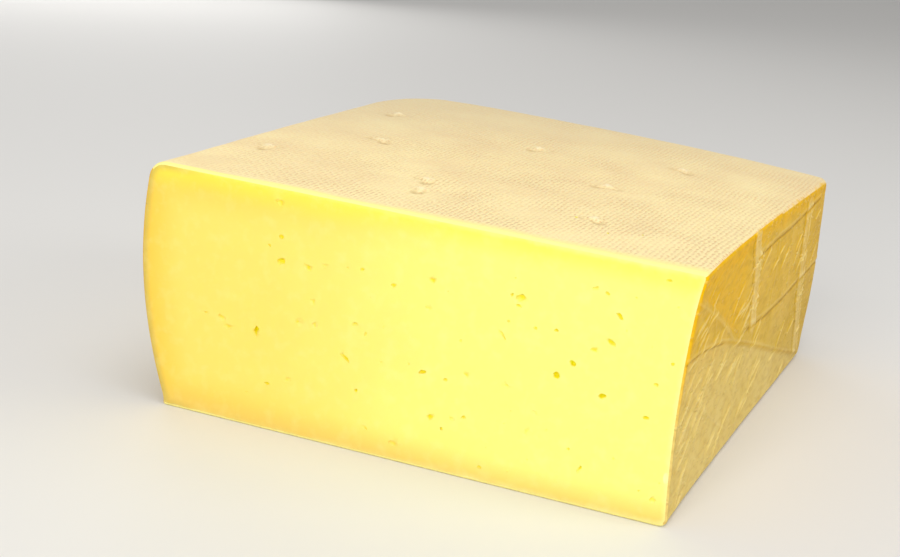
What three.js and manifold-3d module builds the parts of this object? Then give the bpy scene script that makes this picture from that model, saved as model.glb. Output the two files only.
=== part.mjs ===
// Half of a square raclette cheese: a pressed, washed-rind block cut across with a knife, lying on its base.
// Millimetres, +Z up. The cut looks along -Y, and the origin is at the middle of the base.

import * as THREE from "three";
import { mergeVertices } from "three/addons/utils/BufferGeometryUtils.js";
import Module from "manifold-3d";

const wasm = await Module();
wasm.setup();

// Driving dimensions of the block, measured at mid height. The press left it a little out of square.
const FRONT_WIDTH = 182.3; // along the cut
const BACK_WIDTH = 187.2; // along the back wall
const LEFT_DEPTH = 182.3; // from the cut to the back wall, on the left
const RIGHT_DEPTH = 198.6; // and on the right
const HEIGHT = 81.6; // mean height
const WASTE = 30; // length of the other half that is built and then cut away

// Where the left wall and the cut stand, from the middle of the block.
const LEFT_WALL = -92.8;
const CUT = -94.5;

// How far the two corners away from the cut are rounded off: the left one has slumped.
const CORNER_LEFT = 36;
const CORNER_RIGHT = 11;

// Radii along the edges of the top and of the base, by wall.
const TOP_EDGE = { left: 5, back: 4, right: 2 };
const FOOT_EDGE = { left: 3, back: 3, right: 1.8 };

// How far each wall moves outwards by the top and inwards by the foot (lean),
// and how far it draws in by both (belly). The right wall is hollow at the cut and full at the back.
const LEFT_LEAN = 4.1;
const LEFT_BELLY = 6;
const RIGHT_LEAN = 1.3;
const RIGHT_HOLLOW = 2;
const RIGHT_BELLY = 1.2;
const BACK_LEAN = -0.7;
const BACK_BELLY = 1.5;

// The top falls to the right, rises to the back, is a little twisted and crowned in the middle,
// and sags at the two corners away from the cut.
const TOP_FALL = 4.3;
const TOP_RISE = 1.2;
const TOP_TWIST = 1.75;
const TOP_CROWN = 0.4;
const TOP_SAG = 2;

// The knife's path: how far the cut is turned off square, and how far its top leans back.
const CUT_TURN = THREE.MathUtils.degToRad(1.2);
const CUT_LEAN = THREE.MathUtils.degToRad(0.6);

// Mesh steps.
const WALL_STEP = 9;
const CORNER_STEPS = 6;
const EDGE_STEPS = 3;
const WALL_RINGS = 9;
const CAP_RINGS = 4;

// Eyes, the small round holes in the paste, and slits where the curd didn't knit: the largest in the cut,
// by place across and up the cut, length, width and tilt in degrees.
const LARGE_EYES = [
  [-48.5, 32.5, 4.2, 2, 85],
  [-41, 57.5, 3.6, 2.3, 5],
  [-16.5, 30.5, 4.4, 1.6, -42],
  [9.5, 31, 3, 1.5, 25],
  [39.5, 60, 4, 3.1, 30],
  [35.5, 48, 3.6, 1.3, -52],
  [70.5, 61, 3.2, 1.5, -45],
  [68.5, 53, 4.6, 1.6, -25],
  [57.5, 44, 2.8, 2.2, -40],
  [53, 39.5, 2.7, 2.5, 0],
  [68, 36, 2.6, 2.3, 20],
  [63.5, 11, 3, 1.7, 55],
];
const SMALL_EYES = 34;
const SMALL_EYE_SIZE = { least: 1.3, most: 2.2 };
const EYE_FIELD = { left: -72, right: 85, low: 9, high: 72 };
const EYE_CLEARANCE = 4.5;
const EYE_DEPTH = 0.8; // of the eye's half width
const LENS_DETAIL = 1;

// Pips on the top, where the curd was pressed into the drain holes of the mould.
const PIPS = [
  [-74, -51],
  [-12, -52],
  [48.5, -57.5],
  [-50, -11],
  [36.5, -10.5],
  [-68, 37],
  [-3, 26],
  [49, 44],
];
const PIP_RADIUS = 3.2;
const PIP_RISE = 0.9;

// Ridges on the right wall, printed by the folds of the press cloth: places along the depth and up the wall.
const FOLDS = [
  [[-90, 50.5], [-47, 45], [-3.5, 32.5], [42, 18], [88, 4]],
  [[-88, 69], [-66, 60], [-45, 50]],
  [[-25.5, 74], [-18, 61], [-9.5, 40.5]],
  [[-14.5, 67], [9, 67.5], [58, 68.5]],
  [[-20, 42], [6, 40], [38.5, 40], [82, 41]],
  [[60.5, 67], [62, 51], [67, 32], [80, 8]],
];
const FOLD_RADIUS = 2.6;
const FOLD_SUNK = 1.9;
const FOLD_SIDES = 10;
const FOLD_STEP = 14;

const PASTE_AND_RIND = { color: 0xf0cf72, roughness: 0.55, metalness: 0 };

const { lerp, clamp, degToRad } = THREE.MathUtils;
const MIDDLE = HEIGHT / 2;

// How much a wall direction belongs to the left, right and back wall. The three shares add up to 1.
function wallShares(normal) {
  const side = normal.x * normal.x;
  return { left: normal.x < 0 ? side : 0, right: normal.x > 0 ? side : 0, back: normal.y * normal.y };
}

function byWall(radii, normal) {
  const share = wallShares(normal);
  return radii.left * share.left + radii.right * share.right + radii.back * share.back;
}

// How far a wall stands out from the plan outline at a height.
function wallSwell(normal, y, z) {
  const share = wallShares(normal);
  const up = (z - MIDDLE) / MIDDLE;
  const along = clamp((y - CUT) / RIGHT_DEPTH, 0, 1);
  const left = LEFT_LEAN * up - LEFT_BELLY * up * up;
  const right = RIGHT_LEAN * (1 - along / 2) * up + lerp(RIGHT_HOLLOW, -RIGHT_BELLY, along) * up * up;
  const back = BACK_LEAN * up - BACK_BELLY * up * up;
  return left * share.left + right * share.right + back * share.back;
}

function topHeight(x, y) {
  const across = x / LEFT_WALL;
  const along = y / CUT;
  const crown = TOP_CROWN * (1 - across * across) * (1 - along * along);
  const sag = TOP_SAG * (across * (1 - along) / 2) ** 2;
  return HEIGHT + TOP_FALL * across - TOP_RISE * along - TOP_TWIST * across * along + crown - sag;
}

// The right wall's place at mid height, at a place along the depth.
function rightWall(y) {
  return LEFT_WALL + lerp(FRONT_WIDTH, BACK_WIDTH, (y - CUT) / RIGHT_DEPTH);
}

// The plan outline at mid height, anticlockwise from the front right, as points with their outward directions.
function planOutline() {
  const front = CUT - WASTE;
  const frontRight = new THREE.Vector2(rightWall(front), front);
  const backRight = new THREE.Vector2(rightWall(CUT + RIGHT_DEPTH), CUT + RIGHT_DEPTH);
  const backLeft = new THREE.Vector2(LEFT_WALL, CUT + LEFT_DEPTH);
  const frontLeft = new THREE.Vector2(LEFT_WALL, front);
  const beside = (corner, other, reach) => other.clone().sub(corner).setLength(reach).add(corner);
  const path = new THREE.Path();
  const goTo = (point) => path.lineTo(point.x, point.y);
  const roundTo = (corner, point) => path.quadraticCurveTo(corner.x, corner.y, point.x, point.y);
  path.moveTo(frontRight.x, frontRight.y);
  goTo(beside(backRight, frontRight, CORNER_RIGHT));
  roundTo(backRight, beside(backRight, backLeft, CORNER_RIGHT));
  goTo(beside(backLeft, backRight, CORNER_LEFT));
  roundTo(backLeft, beside(backLeft, frontLeft, CORNER_LEFT));
  goTo(frontLeft);
  goTo(frontRight);
  const outline = [];
  for (const curve of path.curves) {
    const steps = curve.isLineCurve ? Math.max(1, Math.round(curve.getLength() / WALL_STEP)) : CORNER_STEPS;
    for (let i = 0; i < steps; i++) {
      const point = curve.getPointAt(i / steps);
      const tangent = curve.getTangentAt(i / steps);
      outline.push({ point, normal: new THREE.Vector2(tangent.y, -tangent.x) });
    }
  }
  return outline;
}

// The block's rings from the middle of the base, out, up the walls and in again to the middle of the top.
function blockRings(outline) {
  const rings = [];
  const cap = (share, radii, height) =>
    outline.map(({ point, normal }) => {
      const radius = byWall(radii, normal);
      const swell = wallSwell(normal, point.y, height(point.x, point.y));
      const edge = point.clone().addScaledVector(normal, swell - radius).multiplyScalar(share);
      return new THREE.Vector3(edge.x, edge.y, height(edge.x, edge.y));
    });
  const wall = (radii, turn, heightOf) =>
    outline.map(({ point, normal }) => {
      const radius = byWall(radii, normal);
      const z = heightOf(point, radius);
      const inset = radius * (1 - Math.cos(turn));
      const edge = point.clone().addScaledVector(normal, wallSwell(normal, point.y, z) - inset);
      return new THREE.Vector3(edge.x, edge.y, z);
    });
  const ground = () => 0;
  const top = (point) => topHeight(point.x, point.y);

  for (let i = 0; i <= CAP_RINGS; i++) rings.push(cap(i / CAP_RINGS, FOOT_EDGE, ground));
  for (let i = 1; i < EDGE_STEPS; i++) {
    const turn = (1 - i / EDGE_STEPS) * (Math.PI / 2);
    rings.push(wall(FOOT_EDGE, turn, (point, radius) => radius * (1 - Math.sin(turn))));
  }
  for (let i = 0; i <= WALL_RINGS; i++) {
    const share = i / WALL_RINGS;
    rings.push(
      outline.map(({ point, normal }) => {
        const low = byWall(FOOT_EDGE, normal);
        const z = lerp(low, top(point) - byWall(TOP_EDGE, normal), share);
        const edge = point.clone().addScaledVector(normal, wallSwell(normal, point.y, z));
        return new THREE.Vector3(edge.x, edge.y, z);
      }),
    );
  }
  for (let i = 1; i < EDGE_STEPS; i++) {
    const turn = (i / EDGE_STEPS) * (Math.PI / 2);
    rings.push(wall(TOP_EDGE, turn, (point, radius) => top(point) - radius * (1 - Math.sin(turn))));
  }
  for (let i = CAP_RINGS; i >= 0; i--) rings.push(cap(i / CAP_RINGS, TOP_EDGE, topHeight));
  return rings;
}

// A closed surface over rings of equal length, whose first and last ring have shrunk to a point.
function loft(rings) {
  const count = rings[0].length;
  const index = [];
  for (let i = 0; i + 1 < rings.length; i++) {
    for (let j = 0; j < count; j++) {
      const next = (j + 1) % count;
      const [a, b, c, d] = [i * count + j, i * count + next, (i + 1) * count + next, (i + 1) * count + j];
      index.push(a, b, c, a, c, d);
    }
  }
  const geometry = new THREE.BufferGeometry().setFromPoints(rings.flat());
  geometry.setIndex(index);
  return geometry;
}

// A geometry as a solid, with its shared vertices merged and its empty triangles dropped.
function toSolid(geometry) {
  const bare = geometry.clone();
  bare.deleteAttribute("normal");
  bare.deleteAttribute("uv");
  const merged = mergeVertices(bare, 1e-4);
  const triangles = [];
  for (let i = 0; i < merged.index.count; i += 3) {
    const [a, b, c] = [0, 1, 2].map((k) => merged.index.getX(i + k));
    if (a !== b && b !== c && c !== a) triangles.push(a, b, c);
  }
  const vertProperties = new Float32Array(merged.getAttribute("position").array);
  return new wasm.Manifold(new wasm.Mesh({ numProp: 3, vertProperties, triVerts: new Uint32Array(triangles) }));
}

function toGeometry(solid) {
  const { vertProperties, triVerts } = solid.getMesh();
  const geometry = new THREE.BufferGeometry();
  geometry.setAttribute("position", new THREE.BufferAttribute(new Float32Array(vertProperties), 3));
  geometry.setIndex(new THREE.BufferAttribute(new Uint32Array(triVerts), 1));
  geometry.computeVertexNormals();
  return geometry;
}

// The frame of the cut: its local X runs across, Z up and -Y out of the cheese.
const cutFrame = new THREE.Matrix4().makeRotationFromEuler(new THREE.Euler(-CUT_LEAN, 0, CUT_TURN, "ZXY"));
cutFrame.setPosition(0, CUT, MIDDLE);

// The other half, as a box whose one face is the cut.
function otherHalf() {
  const reach = 4 * WASTE;
  const box = new THREE.BoxGeometry(2 * BACK_WIDTH, reach, 3 * HEIGHT).translate(0, -reach / 2, 0);
  return toSolid(box.applyMatrix4(cutFrame));
}

// An even spread of numbers from 0 to 1, the same on every run.
function spread(n) {
  const wave = Math.sin(n * 12.9898) * 43758.5453;
  return wave - Math.floor(wave);
}

// Small eyes at spread places that keep clear of the eyes already there.
function allEyes() {
  const eyes = [...LARGE_EYES];
  const clear = (x, z) => eyes.every(([ex, ez]) => Math.hypot(x - ex, z - ez) > EYE_CLEARANCE);
  for (let n = 1; eyes.length < LARGE_EYES.length + SMALL_EYES; n += 5) {
    const x = lerp(EYE_FIELD.left, EYE_FIELD.right, Math.sqrt(spread(n)));
    const z = lerp(EYE_FIELD.low, EYE_FIELD.high, spread(n + 1));
    if (!clear(x, z)) continue;
    const length = lerp(SMALL_EYE_SIZE.least, SMALL_EYE_SIZE.most, spread(n + 2));
    eyes.push([x, z, length, length * lerp(0.6, 1, spread(n + 3)), 180 * spread(n + 4)]);
  }
  return eyes;
}

// One eye as a lens that straddles the cut.
function eyeSolid([x, z, length, width, tilt]) {
  const lens = new THREE.IcosahedronGeometry(1, LENS_DETAIL);
  lens.scale(length / 2, EYE_DEPTH * width, width / 2).rotateY(degToRad(-tilt));
  lens.translate(x, 0, z - MIDDLE);
  return toSolid(lens.applyMatrix4(cutFrame));
}

function pipSolid([x, y]) {
  const pip = new THREE.IcosahedronGeometry(1, LENS_DETAIL);
  pip.scale(PIP_RADIUS, PIP_RADIUS, PIP_RISE).translate(x, y, topHeight(x, y));
  return toSolid(pip);
}

// A low ridge that follows a fold over the right wall.
function foldSolid(places) {
  const right = new THREE.Vector2(1, 0);
  const onWall = ([y, z]) => new THREE.Vector3(rightWall(y) + wallSwell(right, y, z) - FOLD_SUNK, y, z);
  const route = new THREE.CatmullRomCurve3(places.map(onWall));
  const section = new THREE.Shape().absarc(0, 0, FOLD_RADIUS, 0, 2 * Math.PI);
  const steps = Math.ceil(route.getLength() / FOLD_STEP);
  const curveSegments = FOLD_SIDES / 2;
  return toSolid(new THREE.ExtrudeGeometry(section, { extrudePath: route, steps, curveSegments }));
}

function cheeseGeometry() {
  let cheese = toSolid(loft(blockRings(planOutline())));
  for (const pip of PIPS) cheese = cheese.add(pipSolid(pip));
  for (const fold of FOLDS) cheese = cheese.add(foldSolid(fold));
  cheese = cheese.subtract(otherHalf());
  for (const eye of allEyes()) cheese = cheese.subtract(eyeSolid(eye));
  const geometry = toGeometry(cheese);
  geometry.computeBoundingBox();
  const middle = geometry.boundingBox.getCenter(new THREE.Vector3());
  return geometry.translate(-middle.x, -middle.y, -geometry.boundingBox.min.z);
}

const cheese = new THREE.Mesh(cheeseGeometry(), new THREE.MeshStandardMaterial(PASTE_AND_RIND));
cheese.name = "raclette_half";

const part = new THREE.Group();
part.add(cheese);

export default part;
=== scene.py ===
"""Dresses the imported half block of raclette: its cut paste, its cloth-printed rind and its creased walls.

Shapes are worked out in millimetres, in the block's own frame, and turned to metres where a mesh is made.
"""

from __future__ import annotations

import logging
import math
from dataclasses import dataclass
from enum import Enum
from typing import Any, Sequence

import bpy
import numpy as np
from mathutils import Matrix, Vector
from mathutils.geometry import delaunay_2d_cdt

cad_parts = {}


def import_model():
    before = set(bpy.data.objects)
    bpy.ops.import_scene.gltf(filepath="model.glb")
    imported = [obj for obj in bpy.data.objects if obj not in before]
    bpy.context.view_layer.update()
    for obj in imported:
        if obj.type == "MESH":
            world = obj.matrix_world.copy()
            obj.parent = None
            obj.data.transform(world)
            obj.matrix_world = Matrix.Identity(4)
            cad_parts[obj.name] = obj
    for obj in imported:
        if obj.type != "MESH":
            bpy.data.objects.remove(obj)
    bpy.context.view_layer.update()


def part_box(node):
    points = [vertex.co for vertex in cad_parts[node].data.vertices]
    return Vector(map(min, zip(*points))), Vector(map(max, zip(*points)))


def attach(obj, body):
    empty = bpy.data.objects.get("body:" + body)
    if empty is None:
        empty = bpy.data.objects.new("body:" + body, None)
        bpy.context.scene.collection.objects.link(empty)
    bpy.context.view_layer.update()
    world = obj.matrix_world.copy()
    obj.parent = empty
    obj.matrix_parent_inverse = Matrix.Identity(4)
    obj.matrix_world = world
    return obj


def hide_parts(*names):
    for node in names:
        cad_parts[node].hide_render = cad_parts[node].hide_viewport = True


LOG = logging.getLogger("raclette")
MM = 0.001
NODE = "raclette_half"
Route = Sequence[tuple[float, float]]


class Surface(Enum):
    """The surfaces of the cheese, by material slot of its mesh."""

    PASTE = 0
    CLOTH_RIND = 1
    WALL_RIND = 2


class Relief(Enum):
    """The kinds of line that the press cloth left on the rind: rise in mm and half width in mm."""

    RIDGE = (0.55, 0.95)
    GROOVE = (-0.34, 0.9)
    BAND = (0.35, 3.4)
    FAINT = (0.22, 1.3)


class EyeKind(Enum):
    """The kinds of hollow in the cut: depth as a share of the width, and how open the rim is."""

    EYE = (0.6, 0.3)
    SLIT = (0.45, 0.5)
    DENT = (0.26, 1.3)


def linear(colour: str) -> tuple[float, float, float, float]:
    """Turns an sRGB hex colour to linear RGBA.

    Args:
        colour: Six hex digits after a hash sign.

    Returns:
        Linear red, green, blue and an alpha of 1.
    """
    parts = [int(colour[i : i + 2], 16) / 255 for i in (1, 3, 5)]
    red, green, blue = [c / 12.92 if c <= 0.04045 else ((c + 0.055) / 1.055) ** 2.4 for c in parts]
    return red, green, blue, 1.0


def add_node(
    tree: bpy.types.NodeTree, kind: str, inputs: dict | None = None, **settings: Any
) -> bpy.types.Node:
    """Adds a node with its settings, values and links.

    Args:
        tree: The tree that gets the node.
        kind: Blender's name for the kind of node.
        inputs: By input name or number, the socket to link or the value to set.
        settings: The node's own properties.

    Returns:
        The new node.
    """
    node = tree.nodes.new(kind)
    for name, value in settings.items():
        setattr(node, name, value)
    for key, value in (inputs or {}).items():
        if isinstance(value, bpy.types.NodeSocket):
            tree.links.new(value, node.inputs[key])
        else:
            node.inputs[key].default_value = value
    return node


def spread(n: np.ndarray | float) -> np.ndarray | float:
    """An even spread of numbers from 0 to 1, the same on every run."""
    wave = np.sin(n * 12.9898) * 43758.5453
    return wave - np.floor(wave)


def mesh_object(name: str, mesh: bpy.types.Mesh) -> bpy.types.Object:
    """Links a mesh to the scene as an object at the origin."""
    item = bpy.data.objects.new(name, mesh)
    bpy.context.scene.collection.objects.link(item)
    return item


def line_object(name: str, lines: Sequence[np.ndarray], shift: np.ndarray) -> bpy.types.Object:
    """Makes an object of bare edges that run along lines.

    Args:
        name: The object's name.
        lines: Points of each line, in mm.
        shift: From the block's frame to the part's, in mm.

    Returns:
        The object, with its place in its mesh.
    """
    points: list[np.ndarray] = []
    edges: list[tuple[int, int]] = []
    for line in lines:
        start = len(points)
        points.extend((np.asarray(line) + shift) * MM)
        edges.extend((start + i, start + i + 1) for i in range(len(line) - 1))
    mesh = bpy.data.meshes.new(name)
    mesh.from_pydata([tuple(p) for p in points], edges, [])
    return mesh_object(name, mesh)


def applied(item: bpy.types.Object, name: str) -> bpy.types.Mesh:
    """The evaluated mesh of an object as a plain mesh.

    Args:
        item: The object with its modifiers.
        name: The new mesh's name.

    Returns:
        A mesh that holds what the modifiers gave.
    """
    bpy.context.view_layer.update()
    graph = bpy.context.evaluated_depsgraph_get()
    mesh = bpy.data.meshes.new_from_object(item.evaluated_get(graph), depsgraph=graph)
    mesh.name = name
    return mesh


def smooth_route(route: Route, step: float = 1.0) -> np.ndarray:
    """Runs a smooth line through places.

    Args:
        route: The places, as pairs.
        step: About how far apart the line's points are, in mm.

    Returns:
        The line's points, one a row.
    """
    knots = np.asarray(route, float)
    knots = np.vstack([2 * knots[0] - knots[1], knots, 2 * knots[-1] - knots[-2]])
    points = []
    for a, b, c, d in zip(knots, knots[1:], knots[2:], knots[3:]):
        count = max(2, int(np.linalg.norm(c - b) / step))
        for t in np.arange(count) / count:
            points.append(b + 0.5 * t * (c - a + t * (2 * a - 5 * b + 4 * c - d + t * (3 * (b - c) + d - a))))
    points.append(knots[-2])
    return np.array(points)


def outline_distance(points: np.ndarray, loop: np.ndarray) -> tuple[np.ndarray, np.ndarray]:
    """How far points lie from a closed outline, and whether they are inside it.

    Args:
        points: Points in the plane, one a row.
        loop: The outline's points in order, one a row.

    Returns:
        The distances and the inside flags.
    """
    ends = np.roll(loop, -1, axis=0)
    runs = ends - loop
    lengths = np.maximum((runs**2).sum(1), 1e-12)
    distances = np.empty(len(points))
    inside = np.zeros(len(points), bool)
    for start in range(0, len(points), 2000):
        part = points[start : start + 2000, None]
        share = np.clip(((part - loop) * runs).sum(2) / lengths, 0, 1)
        gap = part - (loop + share[..., None] * runs)
        distances[start : start + 2000] = np.sqrt((gap**2).sum(2).min(1))
        spans = (loop[:, 1] > part[..., 1]) != (ends[:, 1] > part[..., 1])
        rise = np.where(runs[:, 1] == 0, 1e-12, runs[:, 1])
        crossing = loop[:, 0] + (part[..., 1] - loop[:, 1]) * runs[:, 0] / rise
        inside[start : start + 2000] = ((part[..., 0] < crossing) & spans).sum(1) % 2 == 1
    return distances, inside


def fill_outline(loop: np.ndarray, spacing: float) -> tuple[np.ndarray, list[tuple[int, ...]]]:
    """Fills an outline with an even mesh of triangles.

    Args:
        loop: The outline's points in order, one a row.
        spacing: How far apart the inner points are, in mm.

    Returns:
        The inner points, and triangles that count the outline's points first.
    """
    low, high = loop.min(0), loop.max(0)
    rows = np.arange(low[1], high[1], spacing * 0.866)
    grid = [
        (x, row)
        for i, row in enumerate(rows)
        for x in np.arange(low[0] + (i % 2) * spacing / 2, high[0], spacing)
    ]
    grid = np.array(grid)
    distances, inside = outline_distance(grid, loop)
    inner = grid[inside & (distances > 0.55 * spacing)]
    places = [Vector(p) for p in np.vstack([loop, inner])]
    faces = delaunay_2d_cdt(places, [], [list(range(len(loop)))], 1, 1e-7)[2]
    return inner, [tuple(face) for face in faces]


@dataclass
class Block:
    """The pressed block, cut across with a knife. Its sizes are in mm and hold at mid height."""

    front_width: float = 182.3
    back_width: float = 187.2
    left_depth: float = 182.3
    right_depth: float = 198.6
    height: float = 81.6
    left_face: float = -92.8
    cut_face: float = -94.5
    corner_left: float = 36.0
    corner_right: float = 11.0
    left_lean: float = 4.1
    left_belly: float = 6.0
    right_lean: float = 1.3
    right_hollow: float = 2.0
    right_belly: float = 1.2
    # Beside the cut the right wall turns out, most at the top corner.
    cut_flare: float = 1.3
    corner_flare: float = 1.1
    flare_reach: float = 28.0
    back_lean: float = -0.7
    back_belly: float = 1.5
    top_fall: float = 4.3
    top_rise: float = 1.2
    top_twist: float = 1.75
    top_crown: float = 0.4
    top_sag: float = 2.0
    cut_turn: float = math.radians(1.2)
    cut_lean: float = math.radians(0.6)
    edge_top_left: float = 5.0
    edge_top_right: float = 2.0
    edge_top_back: float = 4.6
    edge_foot: float = 3.2
    edge_foot_left: float = 1.0
    foot_lip: float = 1.1
    knife_edge: float = 0.85
    # How steeply the surface has to face up to count as the top.
    rind_turn: float = 0.6
    shift: np.ndarray | None = None

    @property
    def middle(self) -> float:
        """Half the mean height."""
        return self.height / 2

    def left_wall(self, z: np.ndarray) -> np.ndarray:
        """Where the left wall stands across the block at a height."""
        up = (z - self.middle) / self.middle
        lip = self.foot_lip * np.clip(1 - z / 4.5, 0, 1) ** 2
        return self.left_face - self.left_lean * up + self.left_belly * up**2 - lip

    def right_wall(self, y: np.ndarray, z: np.ndarray) -> np.ndarray:
        """Where the right wall stands across the block, along the depth and at a height."""
        up = (z - self.middle) / self.middle
        share = (y - self.cut_face) / self.right_depth
        along = np.clip(share, 0, 1)
        line = self.left_face + self.front_width + (self.back_width - self.front_width) * share
        swell = self.right_hollow - (self.right_hollow + self.right_belly) * along
        flare = self.cut_flare + self.corner_flare * np.clip((up - 0.55) / 0.45, 0, 1) ** 2
        flare = flare * np.exp(-along * self.right_depth / self.flare_reach)
        return line + self.right_lean * (1 - along / 2) * up + swell * up**2 + flare

    def back_wall(self, x: np.ndarray, z: np.ndarray) -> np.ndarray:
        """Where the back wall stands along the depth, across the block and at a height."""
        up = (z - self.middle) / self.middle
        share = (x - self.left_face) / self.back_width
        line = self.cut_face + self.left_depth + (self.right_depth - self.left_depth) * share
        return line + self.back_lean * up - self.back_belly * up**2

    def cut(self, x: np.ndarray, z: np.ndarray) -> np.ndarray:
        """Where the cut stands along the depth, across the block and at a height."""
        return self.cut_face + math.tan(self.cut_turn) * x + math.tan(self.cut_lean) * (z - self.middle)

    def top(self, x: np.ndarray, y: np.ndarray) -> np.ndarray:
        """The top's height at a place in plan."""
        across = x / self.left_face
        along = y / self.cut_face
        crown = self.top_crown * (1 - across**2) * (1 - along**2)
        sag = self.top_sag * (across * (1 - along) / 2) ** 2
        return (
            self.height
            + self.top_fall * across
            - self.top_rise * along
            - self.top_twist * across * along
            + (crown - sag)
        )

    @staticmethod
    def rounding(reach: float, from_back: np.ndarray) -> np.ndarray:
        """How far a wall draws in near the back, where a corner is rounded over a reach."""
        share = np.clip(1 - from_back / reach, 0, 1)
        return reach * (1 - np.sqrt(1 - share)) ** 2

    def places(self, across: np.ndarray, up: np.ndarray, along: np.ndarray) -> np.ndarray:
        """Places on the block for shares of its width, height and depth.

        Args:
            across: Shares from the left wall to the right wall.
            up: Shares from the base to the top.
            along: Shares from the cut to the back wall.

        Returns:
            The places, with x, y and z in the last axis.
        """
        x = self.left_face + across * self.front_width
        z = up * self.height
        for _ in range(4):
            start, end = self.cut(x, z), self.back_wall(x, z)
            y = start + (end - start) * along
            from_back = (end - start) * (1 - along)
            left = self.left_wall(z) + self.rounding(self.corner_left, from_back)
            right = self.right_wall(y, z) - self.rounding(self.corner_right, from_back)
            x = left + across * (right - left)
            foot = self.rounding(self.edge_foot, from_back)
            z = foot + up * (self.top(x, y) - self.rounding(self.edge_top_back, from_back) - foot)
        return np.stack([x, y, z], -1)

    def section(self) -> np.ndarray:
        """The closed outline across the block, up the left wall and round by the top.

        Returns:
            Shares across and up of each point.
        """
        wide, high = self.front_width, self.height
        runs: list[np.ndarray] = []

        def straight(start: tuple[float, float], end: tuple[float, float], step: float) -> None:
            """Adds a straight run without its last point."""
            count = int(math.dist(start, end) / step)
            shares = (np.arange(count) / count)[:, None]
            runs.append(np.array(start) + shares * (np.array(end) - np.array(start)))

        def turn(centre: tuple[float, float], radius: float, first: float) -> None:
            """Adds a quarter turn, clockwise, without its last point."""
            angles = np.radians(first - np.arange(6) * 15)
            runs.append(np.array(centre) + radius * np.stack([np.cos(angles), np.sin(angles)], 1))

        foot, lip = self.edge_foot, self.edge_foot_left
        left, right = self.edge_top_left, self.edge_top_right
        straight((0, lip), (0, high - left), 0.95)
        turn((left, high - left), left, 180)
        straight((left, high), (wide - right, high), 1.5)
        turn((wide - right, high - right), right, 90)
        straight((wide, high - right), (wide, foot), 0.44)
        turn((wide - foot, foot), foot, 0)
        straight((wide - foot, 0), (lip, 0), 16.0)
        turn((lip, lip), lip, 270)
        return np.vstack(runs) / (wide, high)

    def stations(self) -> np.ndarray:
        """Shares of the depth at which the section is repeated, closer at the cut and at the back corners."""
        depth = (self.left_depth + self.right_depth) / 2
        knife = self.knife_edge * np.array([0.0, 0.29, 1.0])
        even = np.arange(1.5, depth - self.corner_right - 0.5, 1.04)
        turns = np.linspace(0, 1, 11)
        corner = depth - self.corner_right * (1 - turns) ** 2
        return np.concatenate([knife, even, corner]) / depth

    def mesh(self, box: tuple[Vector, Vector]) -> bpy.types.Mesh:
        """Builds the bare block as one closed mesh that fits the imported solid.

        Args:
            box: The solid's lowest and highest corner, in metres.

        Returns:
            The mesh, in metres, with a material slot number on every face.
        """
        outline = self.section()
        stations = self.stations()
        grid = self.places(outline[None, :, 0], outline[None, :, 1], stations[:, None])
        self.shift = np.array(
            [box[0][0] / MM - grid[..., 0].min(), box[1][1] / MM - grid[..., 1].max(), -grid[..., 2].min()]
        )
        self.round_knife_edge(grid)
        rings, count = grid.shape[:2]
        numbers = np.arange(rings * count).reshape(rings, count)
        after = np.roll(numbers, -1, axis=1)
        quads = np.stack([numbers[:-1], after[:-1], after[1:], numbers[1:]], -1).reshape(-1, 4)
        halves = np.stack([quads[:, [0, 1, 3]], quads[:, [1, 2, 3]]], 1).reshape(-1, 3)
        faces: list[tuple[int, ...]] = [tuple(half) for half in halves.tolist()]
        corners = grid.reshape(-1, 3)[quads]
        facing = np.cross(corners[:, 2] - corners[:, 0], corners[:, 3] - corners[:, 1])
        level = np.abs(facing[:, 2]) > self.rind_turn * np.linalg.norm(facing, axis=1)
        level = level.reshape(rings - 1, count)
        level[:2] = level[2]
        slots = np.where(level, Surface.CLOTH_RIND.value, Surface.WALL_RIND.value).ravel().repeat(2).tolist()
        points = [grid.reshape(-1, 3)]

        inner, cap = fill_outline(grid[0][:, [0, 2]], 2.2)
        added = sum(len(p) for p in points)
        points.append(np.stack([inner[:, 0], self.cut(inner[:, 0], inner[:, 1]), inner[:, 1]], 1))
        faces += [tuple(k if k < count else added + k - count for k in face) for face in cap]
        slots += [Surface.PASTE.value] * len(cap)

        inner, cap = fill_outline(grid[-1][:, [0, 2]], 1.3)
        added = sum(len(p) for p in points)
        last = (rings - 1) * count
        points.append(np.stack([inner[:, 0], self.back_wall(inner[:, 0], inner[:, 1]), inner[:, 1]], 1))
        faces += [tuple(last + k if k < count else added + k - count for k in reversed(face)) for face in cap]
        slots += [Surface.WALL_RIND.value] * len(cap)

        mesh = bpy.data.meshes.new("bare_block")
        places = np.vstack(points)
        mesh.from_pydata([tuple(p) for p in ((places + self.shift) * MM).tolist()], [], faces)
        mesh.polygons.foreach_set("material_index", slots)
        mesh.polygons.foreach_set("use_smooth", [True] * len(faces))
        self.mark_shares(mesh, places)
        return mesh

    def round_knife_edge(self, grid: np.ndarray) -> None:
        """Draws the first two sections in, so that the knife's edge is a small rounding.

        Args:
            grid: Places by section and by point, changed in place.
        """
        for ring, share in ((0, 1.0), (1, 0.29)):
            flat = grid[ring][:, [0, 2]]
            tangent = np.roll(flat, -1, axis=0) - np.roll(flat, 1, axis=0)
            tangent /= np.linalg.norm(tangent, axis=1)[:, None]
            grid[ring][:, 0] += share * self.knife_edge * tangent[:, 1]
            grid[ring][:, 2] -= share * self.knife_edge * tangent[:, 0]
            grid[ring][:, 2] = np.maximum(grid[ring][:, 2], 0.0)

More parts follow.
